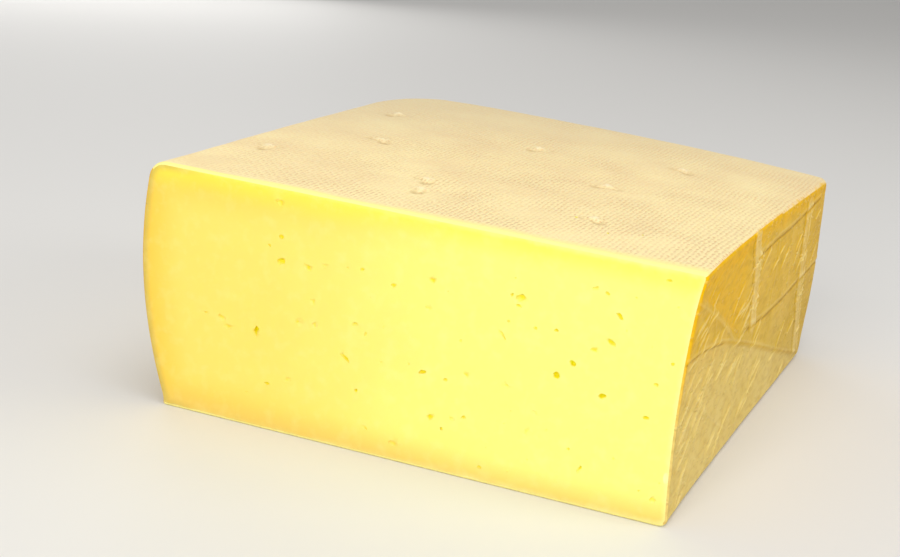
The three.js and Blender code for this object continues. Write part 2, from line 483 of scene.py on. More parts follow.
    def mark_shares(self, mesh: bpy.types.Mesh, places: np.ndarray) -> None:
        """Stores on each point how much relief it may take on the walls and on the top.

        Args:
            mesh: The mesh to mark.
            places: Its points, in the block's own frame in mm.
        """
        x, y, z = places.T
        below = self.top(x, y) - z
        behind = y - self.cut(x, z)
        fade = np.clip((behind - 0.6) / 1.2, 0, 1)
        wall = np.clip((below - 1.5) / 4, 0, 1) * np.clip((z - 0.5) / 3, 0, 1) * fade
        flat = np.clip((3.0 - below) / 2, 0, 1) * fade
        side = np.minimum(self.right_wall(y, z) - x, x - self.left_wall(z))
        corner = np.clip((np.maximum(self.back_wall(x, z) - y, side) - 5) / 9, 0, 1)
        crumpled = wall * corner * np.clip((below - 4) / 7, 0, 1) * np.clip((behind - 1) / 4, 0, 1)
        edge = np.minimum(side, self.back_wall(x, z) - y)
        for name, values in (
            ("wall_share", wall),
            ("top_share", flat),
            ("wrinkle_share", crumpled),
            ("edge_mm", edge),
        ):
            mesh.attributes.new(name, "FLOAT", "POINT").data.foreach_set("value", values)


@dataclass
class PressPrint:
    """What the press left on the rind: folds of the cloth, wrinkles, and pips at the mould's drain holes."""

    pip_radius: float = 3.4
    pip_rise: float = 0.8
    wrinkle_length: float = 19.0
    wrinkle_rise: float = 0.48
    wrinkle_reach: float = 0.85
    wrinkle_density: float = 0.034
    wrinkle_least: float = 0.12
    gathers: tuple[tuple[float, float, float, float], ...] = (
        (-18, 46, 15, 8),
        (-74, 54, 13, 6),
        (-80, 24, 10, 10),
        (-45, 38, 20, 6),
    )
    panel_depth: float = 0.6
    seed: int = 7

    pips: tuple[tuple[float, float], ...] = (
        (-74, -51),
        (-12, -52),
        (48.5, -57.5),
        (-50, -11),
        (36.5, -10.5),
        (-68, 37),
        (-3, 26),
        (49, 44),
        (-8, -65),
    )
    crease: Route = ((-93, 51), (-70, 49), (-47, 45), (-3.5, 32.5), (42, 18), (92, 3))
    gusset: Route = ((-92, 70), (-66, 60), (-45, 50), (-30, 42))
    strap: Route = ((-27, 77), (-18, 61), (-14, 51.5), (-9, 39))
    hem: Route = ((-17, 67), (9, 67.5), (32, 67.4), (58.5, 68.5), (84, 70))
    cross: Route = ((-20, 42), (6, 40), (38.5, 40), (62, 41), (97, 42))
    tail: Route = ((60, 72), (62, 51), (67, 32), (80, 7))

    def lines(self) -> dict[Relief, list[np.ndarray]]:
        """The cloth's lines on one wall, by kind, as places along the wall and up it.

        Returns:
            For each kind of relief, its smooth lines.
        """

        def beside(route: Route, along: float, up: float) -> np.ndarray:
            """A smooth line beside a route."""
            return smooth_route([(a + along, b + up) for a, b in route])

        return {
            Relief.RIDGE: [
                beside(self.strap, 0, 0),
                beside(self.strap, 5.5, 0),
                beside(self.tail, 0, 0),
                beside(self.tail, 6.5, 0),
            ],
            Relief.GROOVE: [
                beside(self.crease[:3], 0, -0.6),
                beside(self.strap, -1.9, 0),
                beside(self.cross, 0, -0.8),
                beside(self.tail, -1.9, 0),
                beside(self.hem, 0, -0.8),
            ],
            Relief.BAND: [beside(self.strap, 2.7, 0), beside(self.tail, 3.2, 0)],
            Relief.FAINT: [
                beside(self.crease, 0, 0.9),
                beside(self.gusset, 0, -1.2),
                beside(self.cross, 0, 1.2),
                beside(self.hem, 0, 1.2),
                smooth_route(((16, 65), (18, 53), (17, 42))),
                smooth_route(((37, 65), (41, 52), (42, 42))),
                smooth_route(((-70, 66), (-58, 47))),
                smooth_route(((-86, 44), (-52, 22), (-24, 8))),
            ],
        }

    def on_walls(self, block: Block) -> dict[Relief, list[np.ndarray]]:
        """Lays the lines on the right wall, and the soft ones again on the left and back walls.

        Args:
            block: The block that carries them.

        Returns:
            For each kind of relief, its lines as places in the block's own frame.
        """
        laid: dict[Relief, list[np.ndarray]] = {}
        for kind, lines in self.lines().items():
            laid[kind] = []
            for line in lines:
                along, z = line.T
                laid[kind].append(np.stack([block.right_wall(along, z), along, z], 1))
                if kind in (Relief.RIDGE, Relief.GROOVE):
                    continue
                mirrored = -0.8 * along - 12
                laid[kind].append(np.stack([block.left_wall(z), mirrored, z], 1))
                across = 0.72 * along + 12
                laid[kind].append(np.stack([across, block.back_wall(across, z), z], 1))
        seam = smooth_route(((-58, -1), (-42, -5), (-28, -17)))
        laid[Relief.FAINT].append(np.stack([seam[:, 0], seam[:, 1], block.top(seam[:, 0], seam[:, 1])], 1))
        return laid

    def mark_panels(self, mesh: bpy.types.Mesh, block: Block) -> None:
        """Stores on each point how far a fold sets it back, and how much the cloth was gathered there.

        Args:
            mesh: The bare block, marked in place.
            block: Its sizes.
        """
        flat = np.empty(3 * len(mesh.vertices))
        mesh.vertices.foreach_get("co", flat)
        x, y, z = (flat.reshape(-1, 3) / MM - block.shift).T
        gaps = np.abs([block.right_wall(y, z) - x, x - block.left_wall(z), block.back_wall(x, z) - y])
        along = np.choose(gaps.argmin(0), [y, (-12 - y) / 0.8, (x - 12) / 0.72])
        crease, gusset = smooth_route(self.crease), smooth_route(self.gusset)
        shown = gaps.argmin(0) == 0
        step = np.where(shown, 1.5, 16.0)
        low = np.clip((np.interp(along, *crease.T) - z) / step, 0, 1)
        above = np.clip((z - np.interp(along, *gusset.T)) / 1.5, 0, 1)
        over = shown * above * np.clip((-21 - along) / 14, 0, 1)
        for name, values in (("low_panel", low), ("gusset_panel", over)):
            smooth = values**2 * (3 - 2 * values)
            mesh.attributes.new(name, "FLOAT", "POINT").data.foreach_set("value", smooth)
        gathered = np.full(len(along), self.wrinkle_least)
        for place, height, length, reach in self.gathers:
            gathered += np.exp(-(((along - place) / length) ** 2) - ((z - height) / reach) ** 2)
        mesh.attributes.new("gathered", "FLOAT", "POINT").data.foreach_set("value", gathered)

    def press(self, body: bpy.types.Object, block: Block, wall_rind: bpy.types.Material) -> bpy.types.Mesh:
        """Prints the cloth and the mould on the bare block.

        Args:
            body: The bare block, with its material slots.
            block: Its sizes.
            wall_rind: The walls' finish.

        Returns:
            The printed block as a plain mesh.
        """
        self.mark_panels(body.data, block)
        helpers = {
            kind: line_object(kind.name.lower(), lines, block.shift)
            for kind, lines in self.on_walls(block).items()
        }
        tops = np.array([(x, y, block.top(x, y)) for x, y in self.pips])
        pips = line_object("pips", [tops[i : i + 1] for i in range(len(tops))], block.shift)
        modifier = body.modifiers.new("press_print", "NODES")
        modifier.node_group = tree = self.tree(list(helpers))
        values: dict[str, Any] = {
            "Pips": pips,
            "Pip Radius": self.pip_radius * MM,
            "Pip Rise": self.pip_rise * MM,
            "Wrinkle Length": self.wrinkle_length * MM,
            "Wrinkle Rise": self.wrinkle_rise * MM,
            "Wrinkle Reach": self.wrinkle_reach * MM,
            "Wrinkle Density": self.wrinkle_density / MM**2,
            "Panel Depth": self.panel_depth * MM,
            "Seed": self.seed,
            "Wall Rind": wall_rind,
        }
        values.update({kind.name.title(): item for kind, item in helpers.items()})
        for socket in tree.interface.items_tree:
            if socket.in_out == "INPUT" and socket.name in values:
                modifier[socket.identifier] = values[socket.name]
        mesh = applied(body, "printed_block")
        body.modifiers.remove(modifier)
        for item in (*helpers.values(), pips):
            bpy.data.objects.remove(item)
        return mesh

    @staticmethod
    def tree(kinds: list[Relief]) -> bpy.types.NodeTree:
        """The node tree that raises folds, wrinkles and pips out of the block's surface.

        Args:
            kinds: The kinds of fold, each with an object of its lines.

        Returns:
            The tree, with named inputs for its lines and sizes.
        """
        tree = bpy.data.node_groups.new("press_print", "GeometryNodeTree")
        face = tree.interface
        face.new_socket("Geometry", in_out="INPUT", socket_type="NodeSocketGeometry")
        for kind in kinds:
            face.new_socket(kind.name.title(), in_out="INPUT", socket_type="NodeSocketObject")
        face.new_socket("Pips", in_out="INPUT", socket_type="NodeSocketObject")
        wrinkles = ("Wrinkle Length", "Wrinkle Rise", "Wrinkle Reach", "Wrinkle Density")
        for name in ("Pip Radius", "Pip Rise", *wrinkles, "Panel Depth"):
            face.new_socket(name, in_out="INPUT", socket_type="NodeSocketFloat")
        face.new_socket("Seed", in_out="INPUT", socket_type="NodeSocketInt")
        face.new_socket("Wall Rind", in_out="INPUT", socket_type="NodeSocketMaterial")
        face.new_socket("Geometry", in_out="OUTPUT", socket_type="NodeSocketGeometry")
        given = add_node(tree, "NodeGroupInput").outputs
        wall = add_node(tree, "GeometryNodeInputNamedAttribute", {"Name": "wall_share"}).outputs[0]
        top = add_node(tree, "GeometryNodeInputNamedAttribute", {"Name": "top_share"}).outputs[0]
        normal = add_node(tree, "GeometryNodeInputNormal").outputs[0]
        position = add_node(tree, "GeometryNodeInputPosition").outputs[0]

        # Folds: the surface rises or sinks smoothly towards each line.
        fold = None
        for kind in kinds:
            rise, reach = kind.value
            lines = add_node(tree, "GeometryNodeObjectInfo", {"Object": given[kind.name.title()]})
            near = add_node(
                tree, "GeometryNodeProximity", {0: lines.outputs["Geometry"]}, target_element="EDGES"
            )
            height = add_node(
                tree,
                "ShaderNodeMapRange",
                {0: near.outputs["Distance"], 1: 0.0, 2: reach * MM, 3: rise * MM, 4: 0.0},
                interpolation_type="SMOOTHERSTEP",
            ).outputs[0]
            fold = height if fold is None else add_node(
                tree, "ShaderNodeMath", {0: fold, 1: height}
            ).outputs[0]

        # Panels: flat areas that an overlapping fold sets back.
        sunk = None
        for name in ("low_panel", "gusset_panel"):
            share = add_node(tree, "GeometryNodeInputNamedAttribute", {"Name": name}).outputs[0]
            sunk = share if sunk is None else add_node(tree, "ShaderNodeMath", {0: sunk, 1: share}).outputs[0]
        sunk = add_node(
            tree, "ShaderNodeMath", {0: sunk, 1: given["Panel Depth"]}, operation="MULTIPLY"
        ).outputs[0]

        # Wrinkles: short bowed lines over the walls, that rise to the back and lift off at both ends.
        walls = add_node(tree, "GeometryNodeMaterialSelection", {"Material": given["Wall Rind"]})
        gathered = add_node(tree, "GeometryNodeInputNamedAttribute", {"Name": "gathered"}).outputs[0]
        density = add_node(
            tree, "ShaderNodeMath", {0: gathered, 1: given["Wrinkle Density"]}, operation="MULTIPLY"
        ).outputs[0]
        scattered = add_node(
            tree,
            "GeometryNodeDistributePointsOnFaces",
            {
                "Mesh": given["Geometry"],
                "Selection": walls.outputs[0],
                "Density": density,
                "Seed": given["Seed"],
            },
        )
        level = add_node(
            tree,
            "ShaderNodeVectorMath",
            {0: (0.0, 0.0, 1.0), 1: scattered.outputs["Normal"]},
            operation="CROSS_PRODUCT",
        )
        facing = add_node(
            tree,
            "FunctionNodeAxesToRotation",
            {0: scattered.outputs["Normal"], 1: level.outputs[0]},
            primary_axis="Z",
            secondary_axis="X",
        )
        tilt = add_node(
            tree, "FunctionNodeRandomValue", {2: math.radians(10), 3: math.radians(46), 8: given["Seed"]}
        )
        spin = add_node(tree, "FunctionNodeAxisAngleToRotation", {0: (0.0, 0.0, 1.0), 1: tilt.outputs[1]})
        turned = add_node(
            tree,
            "FunctionNodeRotateRotation",
            {0: facing.outputs[0], 1: spin.outputs[0]},
            rotation_space="LOCAL",
        )
        stretch = add_node(tree, "FunctionNodeRandomValue", {2: 0.35, 3: 1.15, 8: given["Seed"]})
        ends = []
        for share, arch, lift in ((-0.5, 0.0, 1.0), (0.0, 0.14, -1.0), (0.5, 0.0, 1.0)):
            place = {}
            for axis, (size, part) in enumerate(
                (("Wrinkle Length", share), ("Wrinkle Length", arch), ("Wrinkle Reach", lift))
            ):
                place[axis] = add_node(
                    tree, "ShaderNodeMath", {0: given[size], 1: part}, operation="MULTIPLY"
                ).outputs[0]
            ends.append(add_node(tree, "ShaderNodeCombineXYZ", place).outputs[0])
        bow = add_node(
            tree,
            "GeometryNodeCurveQuadraticBezier",
            {"Resolution": 10, "Start": ends[0], "Middle": ends[1], "End": ends[2]},
        )
        dash = add_node(tree, "GeometryNodeCurveToMesh", {"Curve": bow.outputs[0]})
        dashes = add_node(
            tree,
            "GeometryNodeInstanceOnPoints",
            {
                "Points": scattered.outputs["Points"],
                "Instance": dash.outputs[0],
                "Rotation": turned.outputs[0],
                "Scale": stretch.outputs[1],
            },
        )
        drawn = add_node(tree, "GeometryNodeRealizeInstances", {0: dashes.outputs[0]})
        near = add_node(tree, "GeometryNodeProximity", {0: drawn.outputs[0]}, target_element="EDGES")
        crest = add_node(
            tree,
            "ShaderNodeMapRange",
            {
                0: near.outputs["Distance"],
                1: 0.0,
                2: given["Wrinkle Reach"],
                3: given["Wrinkle Rise"],
                4: 0.0,
            },
            interpolation_type="SMOOTHSTEP",
        ).outputs[0]
        apart = add_node(
            tree,
            "ShaderNodeMath",
            {0: near.outputs["Distance"], 1: given["Wrinkle Reach"]},
            operation="DIVIDE",
        ).outputs[0]
        apart = add_node(tree, "ShaderNodeMath", {0: apart, 1: 1.4}, operation="SUBTRACT").outputs[0]
        apart = add_node(tree, "ShaderNodeMath", {0: apart}, operation="ABSOLUTE").outputs[0]
        flank = add_node(
            tree,
            "ShaderNodeMapRange",
            {0: apart, 1: 0.0, 2: 0.8, 3: -0.18, 4: 0.0},
            interpolation_type="SMOOTHSTEP",
        ).outputs[0]
        wrinkle = add_node(
            tree, "ShaderNodeMath", {0: flank, 1: given["Wrinkle Rise"], 2: crest}, operation="MULTIPLY_ADD"
        ).outputs[0]
        crumpled = add_node(tree, "GeometryNodeInputNamedAttribute", {"Name": "wrinkle_share"}).outputs[0]
        wrinkle = add_node(tree, "ShaderNodeMath", {0: wrinkle, 1: crumpled}, operation="MULTIPLY").outputs[0]

        # Pips: small peaks with gathers running away from them like a star.
        peaks = add_node(tree, "GeometryNodeObjectInfo", {"Object": given["Pips"]})
        near = add_node(
            tree, "GeometryNodeProximity", {0: peaks.outputs["Geometry"]}, target_element="POINTS"
        )
        away = add_node(
            tree, "ShaderNodeVectorMath", {0: position, 1: near.outputs["Position"]}, operation="SUBTRACT"
        )
        parts = add_node(tree, "ShaderNodeSeparateXYZ", {0: away.outputs[0]}).outputs
        own = add_node(tree, "ShaderNodeSeparateXYZ", {0: near.outputs["Position"]}).outputs
        angle = add_node(tree, "ShaderNodeMath", {0: parts[1], 1: parts[0]}, operation="ARCTAN2").outputs[0]
        start = add_node(tree, "ShaderNodeMath", {0: own[0], 1: 191.0}, operation="MULTIPLY").outputs[0]
        petals = add_node(
            tree, "ShaderNodeMath", {0: angle, 1: 3.0, 2: start}, operation="MULTIPLY_ADD"
        ).outputs[0]
        star = add_node(tree, "ShaderNodeMath", {0: petals}, operation="COSINE").outputs[0]
        star = add_node(
            tree, "ShaderNodeMath", {0: star, 1: 0.32, 2: 0.72}, operation="MULTIPLY_ADD"
        ).outputs[0]
        reach = add_node(
            tree, "ShaderNodeMath", {0: star, 1: given["Pip Radius"]}, operation="MULTIPLY"
        ).outputs[0]
        ratio = add_node(
            tree, "ShaderNodeMath", {0: near.outputs["Distance"], 1: reach}, operation="DIVIDE"
        ).outputs[0]
        peak = add_node(
            tree, "ShaderNodeMapRange", {0: ratio, 1: 0.0, 2: 1.3, 3: given["Pip Rise"], 4: 0.0},
            interpolation_type="SMOOTHERSTEP",
        ).outputs[0]
        moat = add_node(tree, "ShaderNodeMath", {0: ratio, 1: 1.5}, operation="SUBTRACT").outputs[0]
        moat = add_node(tree, "ShaderNodeMath", {0: moat}, operation="ABSOLUTE").outputs[0]
        dip = add_node(
            tree,
            "ShaderNodeMapRange",
            {0: moat, 1: 0.0, 2: 0.8, 3: -0.32 * MM, 4: 0.0},
            interpolation_type="SMOOTHSTEP",
        ).outputs[0]
        front = add_node(tree, "ShaderNodeMath", {0: angle}, operation="SINE").outputs[0]
        front = add_node(
            tree, "ShaderNodeMath", {0: front, 1: -0.6, 2: 0.6}, operation="MULTIPLY_ADD"
        ).outputs[0]
        pip = add_node(
            tree, "ShaderNodeMath", {0: dip, 1: front, 2: peak}, operation="MULTIPLY_ADD"
        ).outputs[0]

        # The press leaves no wall quite flat.
        uneven = add_node(
            tree, "ShaderNodeTexNoise", {"Vector": position, "Scale": 28.0, "Detail": 2.0}
        ).outputs[0]
        sway = add_node(
            tree, "ShaderNodeMapRange", {0: uneven, 1: 0.3, 2: 0.7, 3: -0.35 * MM, 4: 0.35 * MM}
        ).outputs[0]

        walls_rise = add_node(tree, "ShaderNodeMath", {0: fold, 1: sunk}, operation="SUBTRACT").outputs[0]
        walls_rise = add_node(tree, "ShaderNodeMath", {0: walls_rise, 1: wrinkle}).outputs[0]
        walls_rise = add_node(tree, "ShaderNodeMath", {0: walls_rise, 1: sway}).outputs[0]
        walls_rise = add_node(
            tree, "ShaderNodeMath", {0: walls_rise, 1: wall}, operation="MULTIPLY"
        ).outputs[0]
        top_rise = add_node(
            tree, "ShaderNodeMath", {0: sway, 1: 0.5, 2: pip}, operation="MULTIPLY_ADD"
        ).outputs[0]
        top_rise = add_node(tree, "ShaderNodeMath", {0: top_rise, 1: fold}).outputs[0]
        top_rise = add_node(tree, "ShaderNodeMath", {0: top_rise, 1: top}, operation="MULTIPLY").outputs[0]
        rise = add_node(tree, "ShaderNodeMath", {0: walls_rise, 1: top_rise}).outputs[0]
        kept = None
        relief = add_node(tree, "ShaderNodeMath", {0: fold, 1: pip}).outputs[0]
        for name, value in (("fold_relief", relief), ("wrinkle_relief", wrinkle)):
            kept = add_node(
                tree,
                "GeometryNodeStoreNamedAttribute",
                {"Geometry": kept.outputs[0] if kept else given["Geometry"], "Name": name, "Value": value},
                data_type="FLOAT",
                domain="POINT",
            )
        offset = add_node(
            tree, "ShaderNodeVectorMath", {0: normal, "Scale": rise}, operation="SCALE"
        ).outputs[0]
        moved = add_node(tree, "GeometryNodeSetPosition", {"Geometry": kept.outputs[0], "Offset": offset})
        whole = add_node(tree, "GeometryNodeRealizeInstances", {0: moved.outputs[0]})
        dressed = add_node(
            tree,
            "GeometryNodeSetMaterial",
            {"Geometry": whole.outputs[0], "Selection": walls.outputs[0], "Material": given["Wall Rind"]},
        )
        add_node(tree, "NodeGroupOutput", {0: dressed.outputs[0]})
        return tree


@dataclass
class Eyes:
    """The hollows in the cut, each by place across and up, length, width and tilt in degrees.

    Pits are in the top, each by place across and along, and width.
    """

    eyes: tuple[tuple[float, float, float, float, float], ...] = (
        (-41.5, 65.5, 1.7, 1.4, 0),
        (-45.5, 62, 1.2, 0.8, -50),
        (-41, 57.5, 3.2, 1.9, 5),
        (-49, 33, 3.8, 1.7, 85),
        (-44, 16, 1.9, 1.1, 0),
        (-12.5, 60, 1.5, 1.1, 20),
        (-1.5, 57, 2.0, 1.3, 10),
        (-12, 20.5, 1.4, 1.2, 0),
        (10, 31.5, 2.6, 1.4, 20),
        (18, 30.5, 1.5, 1.2, 0),
        (18, 14.5, 1.2, 1.0, 40),
        (36.8, 61.2, 1.3, 1.0, 60),
        (39.3, 58.2, 1.8, 0.9, -10),
        (36.5, 53, 1.1, 0.9, 0),
        (45, 52.5, 1.3, 1.0, 0),
        (51.5, 53, 1.4, 1.2, 0),
        (65.5, 67, 1.7, 1.1, -30),
        (70, 61, 2.6, 1.3, -50),
        (57.5, 44, 2.4, 1.7, -40),
        (53, 39.5, 2.2, 2.1, 0),
        (67.5, 36, 2.2, 1.9, 20),
        (87, 50, 1.3, 1.1, 60),
        (83, 43, 1.4, 1.2, 0),
        (81, 32.5, 2.0, 1.2, 10),
        (83, 74, 1.9, 0.9, 0),
        (31.5, 5, 1.6, 1.2, 0),
        (59, 17.5, 1.2, 1.0, 0),
    )
    slits: tuple[tuple[float, float, float, float, float], ...] = (
        (-68, 35.5, 1.8, 0.8, 0),
        (-16.5, 30.5, 4.2, 1.5, -42),
        (-10, 39.5, 1.8, 0.9, 80),
        (-8, 9, 2.2, 1.0, -25),
        (35, 48.5, 3.8, 1.3, -52),
        (62, 68, 2.4, 0.9, 25),
        (68, 53, 4.4, 1.7, -25),
        (63, 12, 3.0, 1.4, 65),
    )
    dents: tuple[tuple[float, float, float, float, float], ...] = (
        (-62, 35, 2.4, 1.4, -30),
        (-59, 32.5, 2.8, 1.8, 0),
        (-42.5, 76.5, 3.2, 1.8, -10),
        (-31.5, 57.5, 3.2, 2.0, -20),
        (-25.5, 59, 2.2, 1.4, 0),
        (-29, 46.5, 2.4, 1.6, -20),
        (-34, 39, 2.2, 1.4, 0),
        (-28, 39, 2.2, 1.8, 70),
        (-36.5, 19, 2.2, 1.4, 20),
        (-14, 42, 2.2, 1.8, 0),
        (2, 6, 3.0, 2.0, 0),
        (11, 61, 2.4, 2.0, 0),
        (10.5, 52, 2.6, 1.2, -10),
        (24.5, 33.5, 2.4, 2.0, 30),
        (14, 17.5, 3.2, 2.0, 20),
        (21, 18.5, 1.6, 1.4, 0),
        (25, 19.5, 2.0, 1.6, 60),
        (37.5, 33, 2.2, 1.4, 0),
        (47, 26.5, 1.8, 1.2, -40),
        (45.5, 20, 2.6, 1.2, 70),
        (63.5, 49.5, 2.8, 1.9, 15),
        (39.5, 60.5, 3.4, 2.8, 35),
        (86, 8, 2.4, 1.6, 50),
    )
    pits: tuple[tuple[float, float, float], ...] = (
        (42.5, -59, 1.0),
        (57, -71, 0.8),
        (66, -64.5, 0.6),
    )
    tiny: int = 26
    field_low: tuple[float, float] = (-72.0, 6.0)
    field_high: tuple[float, float] = (88.0, 72.0)
    clearance: float = 4.5

    def all(self) -> np.ndarray:
        """Every hollow: place across and up the cut, length, width, tilt, depth and how open its rim is.

        Returns:
            One row for each hollow.
        """
        groups = {EyeKind.EYE: self.eyes, EyeKind.SLIT: self.slits, EyeKind.DENT: self.dents}
        rows = [
            (*mark, kind.value[0] * mark[3], kind.value[1])
            for kind, marks in groups.items()
            for mark in marks
        ]
        total = len(rows) + self.tiny
        n = 1
        while len(rows) < total:
            share = float(spread(n)) ** 0.5
            x = self.field_low[0] + share * (self.field_high[0] - self.field_low[0])
            z = self.field_low[1] + float(spread(n + 1)) * (self.field_high[1] - self.field_low[1])
            if all(math.hypot(x - row[0], z - row[1]) > self.clearance for row in rows):
                length = 0.6 + 0.4 * float(spread(n + 2))
                width = length * (0.6 + 0.4 * float(spread(n + 3)))
                depth, lift = EyeKind.SLIT.value
                rows.append((x, z, length, width, 180 * float(spread(n + 4)), depth * width, lift))
            n += 5
        return np.array(rows)

    def bore(self, body: bpy.types.Object, block: Block, paste: bpy.types.Material) -> bpy.types.Mesh:
        """Takes the eyes out of the block.

        Args:
            body: The printed block.
            block: Its sizes.
            paste: The finish inside the eyes.

        Returns:
            The block with its eyes, as a plain mesh.
        """
        x, z, length, width, tilt, depth, lift = self.all().T
        spare = 1 / np.sqrt(1 - (lift / (1 + lift)) ** 2)
        pit_x, pit_y, across = np.array(self.pits).T
        places = np.vstack([
            np.stack([x, block.cut(x, z) - lift * depth, z], 1),
            np.stack([pit_x, pit_y, block.top(pit_x, pit_y)], 1),
        ])
        axes = np.vstack([
            np.stack([spare * length / 2, (1 + lift) * depth, spare * width / 2], 1),
            np.stack([0.5 * across, 0.8 * across, 1.3 * across], 1),
        ]) * MM
        turns = np.zeros_like(axes)
        turns[: len(tilt), 1] = -np.radians(tilt)
        cutters = line_object("eyes", [places[i : i + 1] for i in range(len(places))], block.shift)
        for name, values in (("axes", axes), ("turns", turns)):
            cutters.data.attributes.new(name, "FLOAT_VECTOR", "POINT").data.foreach_set(
                "vector", values.ravel()
            )
        modifier = cutters.modifiers.new("eyes", "NODES")
        modifier.node_group = tree = self.tree()
        for socket in tree.interface.items_tree:
            if socket.in_out == "INPUT" and socket.name == "Paste":
                modifier[socket.identifier] = paste
        cutters.data = applied(cutters, "eye_hollows")
        cutters.modifiers.remove(modifier)
        boolean = body.modifiers.new("eyes", "BOOLEAN")
        boolean.operation = "DIFFERENCE"
        boolean.solver = "MANIFOLD"
        boolean.object = cutters
        mesh = applied(body, NODE + "_dressed")
        body.modifiers.remove(boolean)
        bpy.data.objects.remove(cutters)
        return mesh

    @staticmethod
    def tree() -> bpy.types.NodeTree:
        """The node tree that puts a lumpy hollow at every eye.

        Returns:
            The tree, with the paste as a named input.
        """
        tree = bpy.data.node_groups.new("eyes", "GeometryNodeTree")
        tree.interface.new_socket("Geometry", in_out="INPUT", socket_type="NodeSocketGeometry")
        tree.interface.new_socket("Paste", in_out="INPUT", socket_type="NodeSocketMaterial")
        tree.interface.new_socket("Geometry", in_out="OUTPUT", socket_type="NodeSocketGeometry")
        given = add_node(tree, "NodeGroupInput").outputs
        axes = add_node(
            tree, "GeometryNodeInputNamedAttribute", {"Name": "axes"}, data_type="FLOAT_VECTOR"
        ).outputs[0]
        turns = add_node(
            tree, "GeometryNodeInputNamedAttribute", {"Name": "turns"}, data_type="FLOAT_VECTOR"
        ).outputs[0]
        ball = add_node(tree, "GeometryNodeMeshIcoSphere", {"Radius": 1.0, "Subdivisions": 3}).outputs[0]
        points = add_node(tree, "GeometryNodeMeshToPoints", {"Mesh": given["Geometry"]}).outputs[0]
        turned = add_node(tree, "FunctionNodeEulerToRotation", {0: turns}).outputs[0]
        balls = add_node(
            tree,
            "GeometryNodeInstanceOnPoints",
            {"Points": points, "Instance": ball, "Rotation": turned, "Scale": axes},
        ).outputs[0]
        real = add_node(tree, "GeometryNodeRealizeInstances", {0: balls}).outputs[0]
        position = add_node(tree, "GeometryNodeInputPosition").outputs[0]
        lumps = add_node(
            tree, "ShaderNodeTexNoise", {"Vector": position, "Scale": 620.0, "Detail": 1.0}
        ).outputs[1]
        centred = add_node(
            tree, "ShaderNodeVectorMath", {0: lumps, 1: (0.5, 0.5, 0.5)}, operation="SUBTRACT"
        ).outputs[0]
        pushed = add_node(
            tree, "ShaderNodeVectorMath", {0: centred, 1: axes}, operation="MULTIPLY"
        ).outputs[0]
        pushed = add_node(
            tree, "ShaderNodeVectorMath", {0: pushed, "Scale": 1.2}, operation="SCALE"
        ).outputs[0]
        lumpy = add_node(tree, "GeometryNodeSetPosition", {"Geometry": real, "Offset": pushed}).outputs[0]
        dressed = add_node(tree, "GeometryNodeSetMaterial", {"Geometry": lumpy, "Material": given["Paste"]})
        add_node(tree, "NodeGroupOutput", {0: dressed.outputs[0]})
        return tree


